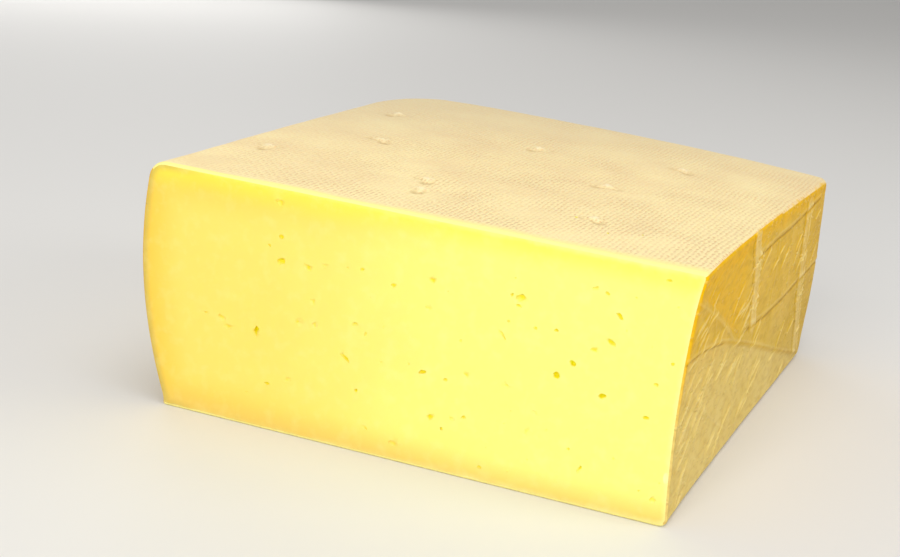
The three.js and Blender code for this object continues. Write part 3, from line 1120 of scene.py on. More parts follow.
@dataclass(frozen=True)
class Paste:
    """Semi-hard cow's milk paste, cut with a long knife: smooth and faintly moist, and light enters it."""

    core: str = "#FEF482"
    left: str = "#FBDF6A"
    ripe: str = "#F5CD46"
    band: str = "#FDEC4A"
    foot: str = "#EAC862"
    edge_tan: str = "#CDB455"
    # The next colour is the pale of crumbs, flecks and the scar, and the painted highlight along the cut's
    # edge.
    rim: str = "#FFF5AA"
    # The next colour is the painted shade inside the eyes.
    hollow: str = "#EEE000"
    scar: tuple[float, float] = (88.6, 15.5)
    roughness: float = 0.42

    def material(self) -> bpy.types.Material:
        """Builds the material.

        Returns:
            The paste's material.
        """
        item = bpy.data.materials.new("cut_cheese_paste")
        item.use_nodes = True
        tree = item.node_tree
        shader = tree.nodes["Principled BSDF"]
        place = add_node(tree, "ShaderNodeTexCoord").outputs["Object"]
        mm = add_node(tree, "ShaderNodeVectorMath", {0: place, "Scale": 1 / MM}, operation="SCALE").outputs[0]
        axes = add_node(tree, "ShaderNodeSeparateXYZ", {0: mm}).outputs
        rind = add_node(tree, "ShaderNodeAttribute", attribute_name="rind_mm").outputs["Fac"]
        below = add_node(tree, "ShaderNodeAttribute", attribute_name="below_mm").outputs["Fac"]
        inward = add_node(tree, "ShaderNodeAttribute", attribute_name="behind_mm").outputs["Fac"]

        # Across the cut the paste goes from a deeper yellow at the left to pale lemon at the right.
        cloud = add_node(
            tree, "ShaderNodeTexNoise", {"Vector": mm, "Scale": 1 / 30, "Detail": 2.0}
        ).outputs[0]
        drift = add_node(
            tree, "ShaderNodeMath", {0: cloud, 1: 50.0, 2: axes[0]}, operation="MULTIPLY_ADD"
        ).outputs[0]
        right = add_node(
            tree, "ShaderNodeMapRange", {0: drift, 1: -52.0, 2: 83.0}, interpolation_type="SMOOTHSTEP"
        ).outputs[0]
        colour = add_node(
            tree, "ShaderNodeMix", {0: right, 6: linear(self.left), 7: linear(self.core)}, data_type="RGBA"
        ).outputs[2]

        # Under the rind it ripens darker, most at the left wall and the top left edge.
        ripe = add_node(
            tree,
            "ShaderNodeMapRange",
            {0: rind, 1: 0.0, 2: 17.0, 3: 1.0, 4: 0.0},
            interpolation_type="SMOOTHSTEP",
        ).outputs[0]
        side = add_node(
            tree, "ShaderNodeMapRange", {0: axes[0], 1: -95.0, 2: 30.0, 3: 1.0, 4: 0.0}
        ).outputs[0]
        ripe = add_node(tree, "ShaderNodeMath", {0: ripe, 1: side}, operation="MULTIPLY").outputs[0]
        colour = add_node(
            tree, "ShaderNodeMix", {0: ripe, 6: colour, 7: linear(self.ripe)}, data_type="RGBA"
        ).outputs[2]
        depth = add_node(
            tree, "ShaderNodeMath", {0: cloud, 1: 6.0, 2: below}, operation="MULTIPLY_ADD"
        ).outputs[0]
        band = add_node(
            tree,
            "ShaderNodeMapRange",
            {0: depth, 1: 4.0, 2: 13.0, 3: 0.7, 4: 0.0},
            interpolation_type="SMOOTHSTEP",
        ).outputs[0]
        colour = add_node(
            tree, "ShaderNodeMix", {0: band, 6: colour, 7: linear(self.band)}, data_type="RGBA"
        ).outputs[2]
        foot = add_node(
            tree,
            "ShaderNodeMapRange",
            {0: axes[2], 1: -1.0, 2: 11.0, 3: 0.85, 4: 0.0},
            interpolation_type="SMOOTHSTEP",
        ).outputs[0]
        colour = add_node(
            tree, "ShaderNodeMix", {0: foot, 6: colour, 7: linear(self.foot)}, data_type="RGBA"
        ).outputs[2]

        # Against the left wall the paste turns a darker tan.
        edge_tan = add_node(
            tree,
            "ShaderNodeMapRange",
            {0: rind, 1: 0.3, 2: 3.6, 3: 0.85, 4: 0.0},
            interpolation_type="SMOOTHSTEP",
        ).outputs[0]
        side = add_node(
            tree, "ShaderNodeMapRange", {0: axes[0], 1: -84.0, 2: -70.0, 3: 1.0, 4: 0.0}
        ).outputs[0]
        edge_tan = add_node(tree, "ShaderNodeMath", {0: edge_tan, 1: side}, operation="MULTIPLY").outputs[0]
        colour = add_node(
            tree, "ShaderNodeMix", {0: edge_tan, 6: colour, 7: linear(self.edge_tan)}, data_type="RGBA"
        ).outputs[2]

        # Along the edge the paste is painted pale, unevenly: a painted highlight on the knife-rounded edge,
        # and pale crumbs at the foot.
        ragged = add_node(
            tree, "ShaderNodeTexNoise", {"Vector": mm, "Scale": 1 / 4, "Detail": 2.0}
        ).outputs[0]
        edge = add_node(
            tree, "ShaderNodeMath", {0: ragged, 1: -2.0, 2: rind}, operation="MULTIPLY_ADD"
        ).outputs[0]
        rim = add_node(
            tree,
            "ShaderNodeMapRange",
            {0: edge, 1: -0.8, 2: 1.6, 3: 0.55, 4: 0.0},
            interpolation_type="SMOOTHSTEP",
        ).outputs[0]
        # The painted highlight is faint at the left edge and full at the right.
        inner = add_node(
            tree, "ShaderNodeMapRange", {0: axes[0], 1: -90.0, 2: 85.0, 3: 0.05, 4: 1.0}
        ).outputs[0]
        rim = add_node(tree, "ShaderNodeMath", {0: rim, 1: inner}, operation="MULTIPLY").outputs[0]
        crumb = add_node(
            tree, "ShaderNodeMath", {0: ragged, 1: -1.6, 2: axes[2]}, operation="MULTIPLY_ADD"
        ).outputs[0]
        crumb = add_node(tree, "ShaderNodeMapRange", {0: crumb, 1: -0.3, 2: 0.3, 3: 0.85, 4: 0.0}).outputs[0]
        rim = add_node(tree, "ShaderNodeMath", {0: rim, 1: crumb}, operation="MAXIMUM").outputs[0]
        colour = add_node(
            tree, "ShaderNodeMix", {0: rim, 6: colour, 7: linear(self.rim)}, data_type="RGBA"
        ).outputs[2]

        # Paler flecks, and one pale scar by the lower right edge.
        fleck = add_node(
            tree, "ShaderNodeTexNoise", {"Vector": mm, "Scale": 1 / 4.5, "Detail": 3.0}
        ).outputs[0]
        pale = add_node(tree, "ShaderNodeMapRange", {0: fleck, 1: 0.5, 2: 0.75, 3: 0.0, 4: 0.18}).outputs[0]
        away = add_node(
            tree, "ShaderNodeVectorMath", {0: mm, 1: (-self.scar[0], 0.0, -self.scar[1])}
        ).outputs[0]
        away = add_node(
            tree, "ShaderNodeVectorMath", {0: away, 1: (1 / 0.9, 0.0, 1 / 1.8)}, operation="MULTIPLY"
        ).outputs[0]
        apart = add_node(tree, "ShaderNodeVectorMath", {0: away}, operation="LENGTH").outputs["Value"]
        scar = add_node(tree, "ShaderNodeMapRange", {0: apart, 1: 0.7, 2: 1.1, 3: 0.9, 4: 0.0}).outputs[0]
        pale = add_node(tree, "ShaderNodeMath", {0: pale, 1: scar}, operation="MAXIMUM").outputs[0]
        colour = add_node(
            tree, "ShaderNodeMix", {0: pale, 6: colour, 7: linear(self.rim)}, data_type="RGBA"
        ).outputs[2]

        # Inside an eye the paste is painted a deeper yellow, more with depth: painted shade in the hollow,
        # where light reaches it only through the paste.
        eye_shade = add_node(
            tree, "ShaderNodeMapRange", {0: inward, 1: 0.1, 2: 0.8}, interpolation_type="SMOOTHSTEP"
        ).outputs[0]
        colour = add_node(
            tree, "ShaderNodeMix", {0: eye_shade, 6: colour, 7: linear(self.hollow)}, data_type="RGBA"
        ).outputs[2]
        tree.links.new(colour, shader.inputs["Base Color"])

        # The knife leaves faint drag waves and a fine grain.
        drag = add_node(tree, "ShaderNodeMapping", {"Vector": mm, "Scale": (1 / 40, 1.0, 1 / 7)}).outputs[0]
        waves = add_node(tree, "ShaderNodeTexNoise", {"Vector": drag, "Scale": 1.0, "Detail": 1.0}).outputs[0]
        grain = add_node(
            tree, "ShaderNodeTexNoise", {"Vector": mm, "Scale": 1 / 1.2, "Detail": 3.0}
        ).outputs[0]
        height = add_node(
            tree, "ShaderNodeMath", {0: grain, 1: 0.12, 2: waves}, operation="MULTIPLY_ADD"
        ).outputs[0]
        bump = add_node(tree, "ShaderNodeBump", {"Height": height, "Strength": 0.35, "Distance": 0.6 * MM})
        tree.links.new(bump.outputs[0], shader.inputs["Normal"])
        shader.inputs["Roughness"].default_value = self.roughness
        shader.inputs["IOR"].default_value = 1.45
        shader.inputs["Specular IOR Level"].default_value = 0.4
        shader.inputs["Subsurface Weight"].default_value = 0.3
        shader.inputs["Subsurface Radius"].default_value = (3.0, 1.9, 0.6)
        shader.inputs["Subsurface Scale"].default_value = MM
        return item


@dataclass(frozen=True)
class ClothRind:
    """Dry rind pressed under a plain-weave cloth: matt cream-beige, with the print of the threads."""

    cream: str = "#F3DAA4"
    bright: str = "#FDE9AE"
    grey: str = "#DFCDA2"
    valley: str = "#DFB27C"
    edge: str = "#FDF092"
    worn: str = "#EFBE3A"
    # The next two colours are the painted highlight on raised relief and the painted shade round the pips'
    # foot.
    relief_highlight: str = "#FFF1CC"
    relief_shade: str = "#BE9A5E"
    thread: float = 1.65
    roughness: float = 0.72

    def material(self) -> bpy.types.Material:
        """Builds the material.

        Returns:
            The cloth-printed rind's material.
        """
        item = bpy.data.materials.new("cloth_printed_rind")
        item.use_nodes = True
        tree = item.node_tree
        shader = tree.nodes["Principled BSDF"]
        place = add_node(tree, "ShaderNodeTexCoord").outputs["Object"]
        mm = add_node(tree, "ShaderNodeVectorMath", {0: place, "Scale": 1 / MM}, operation="SCALE").outputs[0]
        axes = add_node(tree, "ShaderNodeSeparateXYZ", {0: mm}).outputs
        behind = add_node(tree, "ShaderNodeAttribute", attribute_name="behind_mm").outputs["Fac"]
        relief = add_node(tree, "ShaderNodeAttribute", attribute_name="fold_relief").outputs["Fac"]

        # The cloth lay a little wavy, so its threads bend.
        wavy = add_node(tree, "ShaderNodeTexNoise", {"Vector": mm, "Scale": 1 / 40, "Detail": 1.0}).outputs[1]
        bent = add_node(tree, "ShaderNodeVectorMath", {0: wavy, "Scale": 2.8}, operation="SCALE").outputs[0]
        loose = add_node(
            tree, "ShaderNodeTexNoise", {"Vector": mm, "Scale": 1 / 2.6, "Detail": 0.0}
        ).outputs[1]
        loose = add_node(tree, "ShaderNodeVectorMath", {0: loose, "Scale": 1.1}, operation="SCALE").outputs[0]
        bent = add_node(tree, "ShaderNodeVectorMath", {0: bent, 1: loose}).outputs[0]
        laid = add_node(tree, "ShaderNodeVectorMath", {0: mm, 1: bent}).outputs[0]
        lain = add_node(tree, "ShaderNodeSeparateXYZ", {0: laid}).outputs

        # Each thread is a ridge, and where one passes over another it stands higher.
        waves = {}
        for axis in (0, 1):
            for turns in (1, 2):
                angle = add_node(
                    tree,
                    "ShaderNodeMath",
                    {0: lain[axis], 1: turns * math.pi / self.thread},
                    operation="MULTIPLY",
                ).outputs[0]
                waves[axis, turns] = add_node(tree, "ShaderNodeMath", {0: angle}, operation="SINE").outputs[0]
        over = add_node(
            tree, "ShaderNodeMath", {0: waves[0, 1], 1: waves[1, 1]}, operation="MULTIPLY"
        ).outputs[0]
        warp = add_node(tree, "ShaderNodeMath", {0: waves[0, 2], 1: 0.55}, operation="MULTIPLY").outputs[0]
        weft = add_node(
            tree, "ShaderNodeMath", {0: waves[1, 2], 1: 0.35, 2: warp}, operation="MULTIPLY_ADD"
        ).outputs[0]
        weave = add_node(
            tree, "ShaderNodeMath", {0: over, 1: 0.38, 2: weft}, operation="MULTIPLY_ADD"
        ).outputs[0]

        # The print is clear towards the front right and worn smooth at the back.
        worn = add_node(tree, "ShaderNodeTexNoise", {"Vector": mm, "Scale": 1 / 26, "Detail": 3.0}).outputs[0]
        back = add_node(
            tree, "ShaderNodeMath", {0: axes[0], 1: -0.6, 2: axes[1]}, operation="MULTIPLY_ADD"
        ).outputs[0]
        clear = add_node(tree, "ShaderNodeMapRange", {0: back, 1: -70.0, 2: 120.0, 3: 1.1, 4: 0.5}).outputs[0]
        patch = add_node(tree, "ShaderNodeMapRange", {0: worn, 1: 0.35, 2: 0.62, 3: 0.3, 4: 1.0}).outputs[0]
        clear = add_node(tree, "ShaderNodeMath", {0: clear, 1: patch}, operation="MULTIPLY").outputs[0]
        left = add_node(
            tree, "ShaderNodeMapRange", {0: axes[0], 1: -95.0, 2: -20.0, 3: 0.5, 4: 1.0}
        ).outputs[0]
        clear = add_node(tree, "ShaderNodeMath", {0: clear, 1: left}, operation="MULTIPLY").outputs[0]
        fade = add_node(tree, "ShaderNodeMapRange", {0: behind, 1: 0.5, 2: 6.0}).outputs[0]
        clear = add_node(tree, "ShaderNodeMath", {0: clear, 1: fade}, operation="MULTIPLY").outputs[0]
        fuzz = add_node(
            tree, "ShaderNodeTexNoise", {"Vector": mm, "Scale": 1 / 1.1, "Detail": 3.0}
        ).outputs[0]
        uneven = add_node(tree, "ShaderNodeMapRange", {0: fuzz, 1: 0.3, 2: 0.7, 3: 0.3, 4: 1.5}).outputs[0]
        clear = add_node(tree, "ShaderNodeMath", {0: clear, 1: uneven}, operation="MULTIPLY").outputs[0]
        printed = add_node(tree, "ShaderNodeMath", {0: weave, 1: clear}, operation="MULTIPLY").outputs[0]

        # Cream, greyer at the back, paler at the front right, darker in the threads' hollows.
        cloud = add_node(
            tree, "ShaderNodeTexNoise", {"Vector": mm, "Scale": 1 / 22, "Detail": 4.0}
        ).outputs[0]
        tint = add_node(tree, "ShaderNodeMapRange", {0: cloud, 1: 0.3, 2: 0.7}).outputs[0]
        close = add_node(
            tree, "ShaderNodeMapRange", {0: back, 1: -140.0, 2: -30.0, 3: 0.9, 4: 0.0}
        ).outputs[0]
        tint = add_node(tree, "ShaderNodeMath", {0: tint, 1: close}, use_clamp=True).outputs[0]
        colour = add_node(
            tree, "ShaderNodeMix", {0: tint, 6: linear(self.cream), 7: linear(self.bright)}, data_type="RGBA"
        ).outputs[2]
        far = add_node(
            tree,
            "ShaderNodeMapRange",
            {0: back, 1: -30.0, 2: 130.0, 3: 0.0, 4: 0.9},
            interpolation_type="SMOOTHSTEP",
        ).outputs[0]
        colour = add_node(
            tree, "ShaderNodeMix", {0: far, 6: colour, 7: linear(self.grey)}, data_type="RGBA"
        ).outputs[2]
        hollow = add_node(
            tree, "ShaderNodeMapRange", {0: printed, 1: 0.0, 2: -0.9, 3: 0.0, 4: 0.8}
        ).outputs[0]
        dust = add_node(tree, "ShaderNodeMapRange", {0: fuzz, 1: 0.5, 2: 0.3, 3: 0.0, 4: 0.25}).outputs[0]
        hollow = add_node(tree, "ShaderNodeMath", {0: hollow, 1: dust}, use_clamp=True).outputs[0]
        colour = add_node(
            tree, "ShaderNodeMix", {0: hollow, 6: colour, 7: linear(self.valley)}, data_type="RGBA"
        ).outputs[2]

        # Pips and the top's seam get a painted highlight, and the sunk ring round each pip's foot painted
        # shade.
        highlight_share = add_node(
            tree, "ShaderNodeMapRange", {0: relief, 1: 0.15 * MM, 2: 0.8 * MM, 3: 0.0, 4: 0.7}
        ).outputs[0]
        colour = add_node(
            tree, "ShaderNodeMix", {0: highlight_share, 6: colour, 7: linear(self.relief_highlight)}, data_type="RGBA"
        ).outputs[2]
        sunk = add_node(
            tree, "ShaderNodeMapRange", {0: relief, 1: -0.06 * MM, 2: -0.4 * MM, 3: 0.0, 4: 0.6}
        ).outputs[0]
        colour = add_node(
            tree, "ShaderNodeMix", {0: sunk, 6: colour, 7: linear(self.relief_shade)}, data_type="RGBA"
        ).outputs[2]

        # Along the walls the print is frayed away and the washed rind shows.
        fray = add_node(tree, "ShaderNodeTexNoise", {"Vector": mm, "Scale": 1 / 5, "Detail": 2.0}).outputs[0]
        inside = add_node(tree, "ShaderNodeAttribute", attribute_name="edge_mm").outputs["Fac"]
        frayed = add_node(
            tree, "ShaderNodeMath", {0: fray, 1: -5.0, 2: inside}, operation="MULTIPLY_ADD"
        ).outputs[0]
        frayed = add_node(
            tree, "ShaderNodeMapRange", {0: frayed, 1: -3.2, 2: -1.7, 3: 0.85, 4: 0.0}
        ).outputs[0]
        colour = add_node(
            tree, "ShaderNodeMix", {0: frayed, 6: colour, 7: linear(self.worn)}, data_type="RGBA"
        ).outputs[2]

        # The knife dragged paste over the front edge, more towards the right.
        uneven = add_node(
            tree, "ShaderNodeMath", {0: worn, 1: -2.5, 2: behind}, operation="MULTIPLY_ADD"
        ).outputs[0]
        reach = add_node(
            tree, "ShaderNodeMapRange", {0: axes[0], 1: -80.0, 2: 90.0, 3: 0.9, 4: 7.0}
        ).outputs[0]
        share = add_node(tree, "ShaderNodeMath", {0: uneven, 1: reach}, operation="DIVIDE").outputs[0]
        knife = add_node(
            tree,
            "ShaderNodeMapRange",
            {0: share, 1: -0.3, 2: 1.0, 3: 0.95, 4: 0.0},
            interpolation_type="SMOOTHSTEP",
        ).outputs[0]
        colour = add_node(
            tree, "ShaderNodeMix", {0: knife, 6: colour, 7: linear(self.edge)}, data_type="RGBA"
        ).outputs[2]
        tree.links.new(colour, shader.inputs["Base Color"])

        height = add_node(
            tree, "ShaderNodeMath", {0: fuzz, 1: 0.8, 2: printed}, operation="MULTIPLY_ADD"
        ).outputs[0]
        bump = add_node(tree, "ShaderNodeBump", {"Height": height, "Strength": 0.9, "Distance": 0.16 * MM})
        tree.links.new(bump.outputs[0], shader.inputs["Normal"])
        shader.inputs["Roughness"].default_value = self.roughness
        shader.inputs["IOR"].default_value = 1.45
        shader.inputs["Specular IOR Level"].default_value = 0.3
        shader.inputs["Subsurface Weight"].default_value = 0.1
        shader.inputs["Subsurface Radius"].default_value = (1.2, 0.9, 0.5)
        shader.inputs["Subsurface Scale"].default_value = MM
        return item


@dataclass(frozen=True)
class WallRind:
    """Washed rind where the cloth was folded round the block: ochre, waxy and nearly matt."""

    tan: str = "#D9B342"
    pale: str = "#E8CE7C"
    amber: str = "#F4BB04"
    # shade darkens streaks and the back of the wall, and is the painted shade in grooves; fold is the painted
    # highlight on raised folds; light is the painted highlight on wrinkle crests.
    shade: str = "#A8781E"
    fold: str = "#F6DD98"
    light: str = "#FFE79A"
    wrinkle_rise: float = 0.48
    roughness: float = 0.45

    def material(self) -> bpy.types.Material:
        """Builds the material.

        Returns:
            The walls' material.
        """
        item = bpy.data.materials.new("folded_wall_rind")
        item.use_nodes = True
        tree = item.node_tree
        shader = tree.nodes["Principled BSDF"]
        place = add_node(tree, "ShaderNodeTexCoord").outputs["Object"]
        mm = add_node(tree, "ShaderNodeVectorMath", {0: place, "Scale": 1 / MM}, operation="SCALE").outputs[0]
        marks = {}
        for name in ("below_mm", "behind_mm", "low_panel", "gusset_panel", "fold_relief", "wrinkle_relief"):
            marks[name] = add_node(tree, "ShaderNodeAttribute", attribute_name=name).outputs["Fac"]

        # Ochre over the most of it, paler on the panel under the crease and on the other walls.
        across = add_node(tree, "ShaderNodeSeparateXYZ", {0: mm}).outputs[0]
        other = add_node(tree, "ShaderNodeMapRange", {0: across, 1: 86.0, 2: 60.0}).outputs[0]
        cloud = add_node(
            tree, "ShaderNodeTexNoise", {"Vector": mm, "Scale": 1 / 16, "Detail": 4.0}
        ).outputs[0]
        tint = add_node(tree, "ShaderNodeMapRange", {0: cloud, 1: 0.32, 2: 0.68, 3: 0.0, 4: 0.4}).outputs[0]
        tint = add_node(
            tree, "ShaderNodeMath", {0: marks["low_panel"], 1: 0.65, 2: tint}, operation="MULTIPLY_ADD"
        ).outputs[0]
        tint = add_node(
            tree, "ShaderNodeMath", {0: other, 1: 0.3, 2: tint}, operation="MULTIPLY_ADD", use_clamp=True
        ).outputs[0]
        colour = add_node(
            tree, "ShaderNodeMix", {0: tint, 6: linear(self.tan), 7: linear(self.pale)}, data_type="RGBA"
        ).outputs[2]

        # Amber where the rind dried: under the top edge, beside the cut and in the gusset.
        dried = None
        terms = (("below_mm", 11.0, 0.95), ("below_mm", 60.0, 0.4), ("behind_mm", 7.0, 0.8))
        for name, reach, share in terms:
            uneven = add_node(
                tree, "ShaderNodeMath", {0: cloud, 1: -0.7 * reach, 2: marks[name]}, operation="MULTIPLY_ADD"
            ).outputs[0]
            near = add_node(
                tree,
                "ShaderNodeMapRange",
                {0: uneven, 1: -0.2 * reach, 2: 0.7 * reach, 3: share, 4: 0.0},
                interpolation_type="SMOOTHSTEP",
            ).outputs[0]
            if name == "behind_mm":
                upper = add_node(
                    tree, "ShaderNodeMapRange", {0: marks["below_mm"], 1: 30.0, 2: 52.0, 3: 1.0, 4: 0.0}
                ).outputs[0]
                near = add_node(tree, "ShaderNodeMath", {0: near, 1: upper}, operation="MULTIPLY").outputs[0]
            dried = near if dried is None else add_node(
                tree, "ShaderNodeMath", {0: dried, 1: near}, operation="MAXIMUM"
            ).outputs[0]
        dried = add_node(
            tree,
            "ShaderNodeMath",
            {0: marks["gusset_panel"], 1: 0.35, 2: dried},
            operation="MULTIPLY_ADD",
            use_clamp=True,
        ).outputs[0]
        plain = add_node(tree, "ShaderNodeMapRange", {0: other, 3: 1.0, 4: 0.5}).outputs[0]
        dried = add_node(tree, "ShaderNodeMath", {0: dried, 1: plain}, operation="MULTIPLY").outputs[0]
        colour = add_node(
            tree, "ShaderNodeMix", {0: dried, 6: colour, 7: linear(self.amber)}, data_type="RGBA"
        ).outputs[2]

        # Finer wrinkles than the mesh can carry: short dashes, drawn out along the wall and tilted.
        along = add_node(
            tree,
            "ShaderNodeMapping",
            {"Vector": mm, "Rotation": (math.radians(-30), 0.0, 0.0), "Scale": (1 / 4.5, 1 / 4.5, 1 / 1.8)},
        ).outputs[0]
        cells = add_node(tree, "ShaderNodeTexVoronoi", {"Vector": along, "Scale": 1.0}).outputs
        pick = add_node(tree, "ShaderNodeSeparateXYZ", {0: cells["Color"]}).outputs[0]
        chosen = add_node(tree, "ShaderNodeMapRange", {0: pick, 1: 0.45, 2: 0.55}).outputs[0]
        stroke = add_node(
            tree, "ShaderNodeMapRange", {0: cells["Distance"], 1: 0.12, 2: 0.42, 3: 1.0, 4: 0.0},
            interpolation_type="SMOOTHSTEP",
        ).outputs[0]
        stroke = add_node(tree, "ShaderNodeMath", {0: stroke, 1: chosen}, operation="MULTIPLY").outputs[0]
        streak = add_node(
            tree, "ShaderNodeTexNoise", {"Vector": along, "Scale": 0.8, "Detail": 1.0}
        ).outputs[0]
        washed = add_node(
            tree, "ShaderNodeMapRange", {0: streak, 1: 0.55, 2: 0.25, 3: 0.0, 4: 0.25}
        ).outputs[0]
        far = add_node(
            tree, "ShaderNodeMapRange", {0: marks["behind_mm"], 1: 120.0, 2: 200.0, 3: 0.0, 4: 0.18}
        ).outputs[0]
        washed = add_node(
            tree, "ShaderNodeMath", {0: washed, 1: plain, 2: far}, operation="MULTIPLY_ADD"
        ).outputs[0]
        colour = add_node(
            tree, "ShaderNodeMix", {0: washed, 6: colour, 7: linear(self.shade)}, data_type="RGBA"
        ).outputs[2]

        # Raised folds are painted pale as a painted highlight, and grooves and the flanks of wrinkles darker
        # as painted shade.
        lowest = add_node(
            tree, "ShaderNodeMath", {0: marks["fold_relief"], 1: marks["wrinkle_relief"]}, operation="MINIMUM"
        ).outputs[0]
        sunk = add_node(
            tree, "ShaderNodeMapRange", {0: lowest, 1: -0.06 * MM, 2: -0.34 * MM, 3: 0.0, 4: 0.65}
        ).outputs[0]
        colour = add_node(
            tree, "ShaderNodeMix", {0: sunk, 6: colour, 7: linear(self.shade)}, data_type="RGBA"
        ).outputs[2]
        highlight_share = add_node(
            tree, "ShaderNodeMapRange", {0: marks["fold_relief"], 1: 0.1 * MM, 2: 0.58 * MM, 3: 0.0, 4: 0.82}
        ).outputs[0]
        highlight_share = add_node(tree, "ShaderNodeMath", {0: highlight_share, 1: plain}, operation="MULTIPLY").outputs[0]
        colour = add_node(
            tree, "ShaderNodeMix", {0: highlight_share, 6: colour, 7: linear(self.fold)}, data_type="RGBA"
        ).outputs[2]
        # Wrinkle crests and the fine dashes get a painted highlight in the light colour.
        crest_highlight = add_node(
            tree,
            "ShaderNodeMapRange",
            {
                0: marks["wrinkle_relief"],
                1: 0.3 * self.wrinkle_rise * MM,
                2: self.wrinkle_rise * MM,
                3: 0.0,
                4: 0.68,
            },
        ).outputs[0]
        crest_highlight = add_node(
            tree, "ShaderNodeMath", {0: stroke, 1: 0.26, 2: crest_highlight}, operation="MULTIPLY_ADD", use_clamp=True
        ).outputs[0]
        crest_highlight = add_node(tree, "ShaderNodeMath", {0: crest_highlight, 1: plain}, operation="MULTIPLY").outputs[0]
        colour = add_node(
            tree, "ShaderNodeMix", {0: crest_highlight, 6: colour, 7: linear(self.light)}, data_type="RGBA"
        ).outputs[2]
        tree.links.new(colour, shader.inputs["Base Color"])

        grain = add_node(
            tree, "ShaderNodeTexNoise", {"Vector": mm, "Scale": 1 / 1.5, "Detail": 3.0}
        ).outputs[0]
        height = add_node(
            tree, "ShaderNodeMath", {0: grain, 1: 0.2, 2: stroke}, operation="MULTIPLY_ADD"
        ).outputs[0]
        height = add_node(
            tree, "ShaderNodeMath", {0: streak, 1: 0.9, 2: height}, operation="MULTIPLY_ADD"
        ).outputs[0]
        bump = add_node(tree, "ShaderNodeBump", {"Height": height, "Strength": 0.9, "Distance": 0.4 * MM})
        tree.links.new(bump.outputs[0], shader.inputs["Normal"])
        shader.inputs["Roughness"].default_value = self.roughness
        shader.inputs["IOR"].default_value = 1.45
        shader.inputs["Specular IOR Level"].default_value = 0.03
        shader.inputs["Subsurface Weight"].default_value = 0.12
        shader.inputs["Subsurface Radius"].default_value = (1.6, 1.0, 0.4)
        shader.inputs["Subsurface Scale"].default_value = MM
        return item


@dataclass
class Cheese:
    """The half block as one piece: the pressed block, its cloth print, its eyes and its three finishes."""

    block: Block
    press_print: PressPrint
    eyes: Eyes
    paste: Paste
    cloth_rind: ClothRind
    wall_rind: WallRind

    def build(self) -> bpy.types.Object:
        """Builds and dresses the cheese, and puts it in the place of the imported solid.

        Returns:
            The finished object.
        """
        finishes = {
            Surface.PASTE: self.paste.material(),
            Surface.CLOTH_RIND: self.cloth_rind.material(),
            Surface.WALL_RIND: self.wall_rind.material(),
        }
        body = mesh_object(NODE + "_dressed", self.block.mesh(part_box(NODE)))
        for surface in Surface:
            body.data.materials.append(finishes[surface])
        LOG.info("bare block: %d faces", len(body.data.polygons))
        body.data = self.press_print.press(body, self.block, finishes[Surface.WALL_RIND])
        LOG.info("printed block: %d faces", len(body.data.polygons))
        body.data = self.eyes.bore(body, self.block, finishes[Surface.PASTE])
        self.mark_depths(body.data)
        body.data.set_sharp_from_angle(angle=math.radians(50))
        triangles = sum(len(face.vertices) - 2 for face in body.data.polygons)
        LOG.info("cheese: %d triangles", triangles)
        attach(body, "root")
        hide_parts(NODE)
        return body

    def mark_depths(self, mesh: bpy.types.Mesh) -> None:
        """Stores on each point how far it lies below the top, from the rind and behind the cut, in mm.

        Args:
            mesh: The finished mesh.
        """
        flat = np.empty(3 * len(mesh.vertices))
        mesh.vertices.foreach_get("co", flat)
        places = flat.reshape(-1, 3) / MM - self.block.shift
        x, y, z = places.T
        below = self.block.top(x, y) - z
        behind = np.maximum(0, y - self.block.cut(x, z))
        outline = self.block.section()
        loop = self.block.places(outline[:, 0], outline[:, 1], np.zeros(len(outline)))[:, [0, 2]]
        rind = np.zeros(len(places))
        near = behind < 6
        rind[near] = outline_distance(places[near][:, [0, 2]], loop)[0]
        for name, values in (("below_mm", below), ("rind_mm", rind), ("behind_mm", behind)):
            mesh.attributes.new(name, "FLOAT", "POINT").data.foreach_set("value", values)


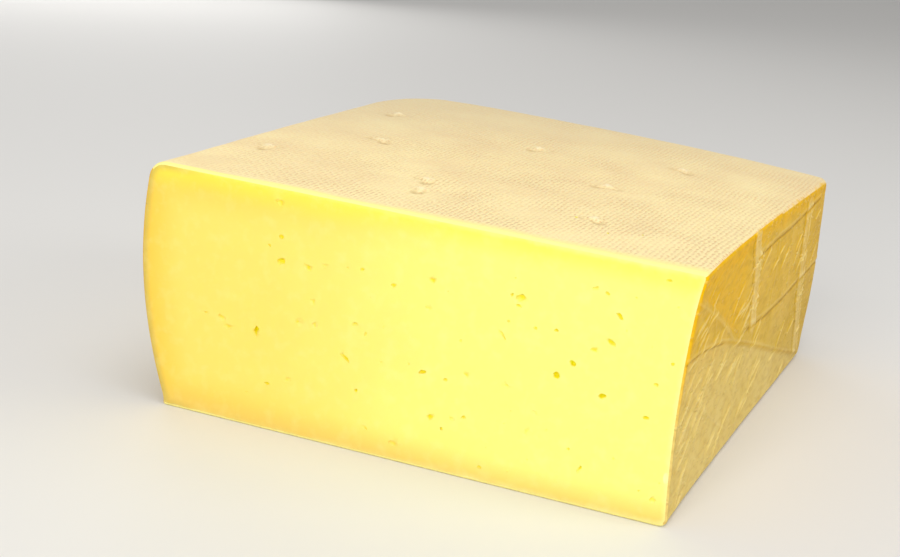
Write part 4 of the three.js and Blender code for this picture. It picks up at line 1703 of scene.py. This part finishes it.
@dataclass
class Studio:
    """A plain pale floor, soft light and the camera at the photograph's angle. Lengths are in mm."""

    floor_size: float = 16000.0
    floor_colour: str = "#E2E0DC"
    world_colour: str = "#FFFFFF"
    world_strength: float = 0.45
    camera_place: tuple[float, float, float] = (176.6, -469.5, 177.3)
    camera_yaw: float = 0.407
    camera_pitch: float = 0.276
    camera_roll: float = -0.080
    focal_pixels: float = 1405.7
    frame_width: int = 900
    lamps: tuple[tuple[str, tuple[float, float, float], float, float], ...] = (
        ("key_lamp", (150, -1300, 700), 800, 11.0),
        ("top_lamp", (300, -300, 1450), 900, 6.8),
        ("side_lamp", (1300, 300, 700), 500, 4.0),
        ("back_lamp", (-1000, 1000, 400), 700, 2.3),
    )

    def floor(self) -> bpy.types.Object:
        """Lays the floor under the cheese.

        Returns:
            The floor's object, which is no part of the cheese.
        """
        half = self.floor_size * MM / 2
        mesh = bpy.data.meshes.new("studio_floor")
        mesh.from_pydata(
            [(-half, -half, 0), (half, -half, 0), (half, half, 0), (-half, half, 0)], [], [(0, 1, 2, 3)]
        )
        paper = bpy.data.materials.new("pale_studio_paper")
        paper.use_nodes = True
        shader = paper.node_tree.nodes["Principled BSDF"]
        shader.inputs["Base Color"].default_value = linear(self.floor_colour)
        shader.inputs["Roughness"].default_value = 0.7
        mesh.materials.append(paper)
        item = mesh_object("studio_floor", mesh)
        return item

    def light(
        self, name: str, place: tuple[float, float, float], size: float, power: float
    ) -> bpy.types.Object:
        """Hangs a soft square lamp that looks at the cheese.

        Args:
            name: The lamp's name.
            place: Where it hangs, in mm.
            size: The length of its side, in mm.
            power: Its power in watts.

        Returns:
            The lamp's object.
        """
        lamp = bpy.data.lights.new(name, "AREA")
        lamp.shape = "SQUARE"
        lamp.size = size * MM
        lamp.energy = power
        item = bpy.data.objects.new(name, lamp)
        item.location = Vector(place) * MM
        aim = Vector((0, 0, 40)) * MM - item.location
        item.rotation_euler = aim.to_track_quat("-Z", "Y").to_euler()
        bpy.context.scene.collection.objects.link(item)
        return item

    def camera(self) -> bpy.types.Object:
        """Sets the camera up as the photograph's.

        Returns:
            The camera's object.
        """
        turn, dip, roll = self.camera_yaw, self.camera_pitch, self.camera_roll
        ahead = Vector((-math.sin(turn) * math.cos(dip), math.cos(turn) * math.cos(dip), -math.sin(dip)))
        right = Vector((math.cos(turn), math.sin(turn), 0))
        down = ahead.cross(right)
        right, down = (
            math.cos(roll) * right + math.sin(roll) * down,
            math.cos(roll) * down - math.sin(roll) * right,
        )
        lens = bpy.data.cameras.new("photo_camera")
        lens.sensor_fit = "HORIZONTAL"
        lens.sensor_width = 36.0
        lens.lens = self.focal_pixels / self.frame_width * lens.sensor_width
        lens.clip_start = 0.01
        lens.clip_end = 100.0
        item = bpy.data.objects.new("photo_camera", lens)
        axes = Matrix((right, -down, -ahead)).transposed()
        item.matrix_world = Matrix.Translation(Vector(self.camera_place) * MM) @ axes.to_4x4()
        bpy.context.scene.collection.objects.link(item)
        bpy.context.scene.camera = item
        return item

    def build(self) -> None:
        """Builds the floor, the lamps, the world's light and the camera."""
        self.floor()
        for name, place, size, power in self.lamps:
            self.light(name, place, size, power)
        world = bpy.data.worlds.new("studio_world")
        world.use_nodes = True
        ground = world.node_tree.nodes["Background"]
        ground.inputs["Color"].default_value = linear(self.world_colour)
        ground.inputs["Strength"].default_value = self.world_strength
        bpy.context.scene.world = world
        bpy.context.scene.view_settings.view_transform = "Standard"
        self.camera()


def main() -> None:
    """Loads the frame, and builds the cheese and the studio."""
    logging.basicConfig(level=logging.INFO, format="%(name)s: %(message)s")
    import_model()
    cheese = Cheese(Block(), PressPrint(), Eyes(), Paste(), ClothRind(), WallRind())
    LOG.info("built %s", cheese.build().name)
    Studio().build()
    LOG.info("built studio")


if __name__ == "__main__":
    main()
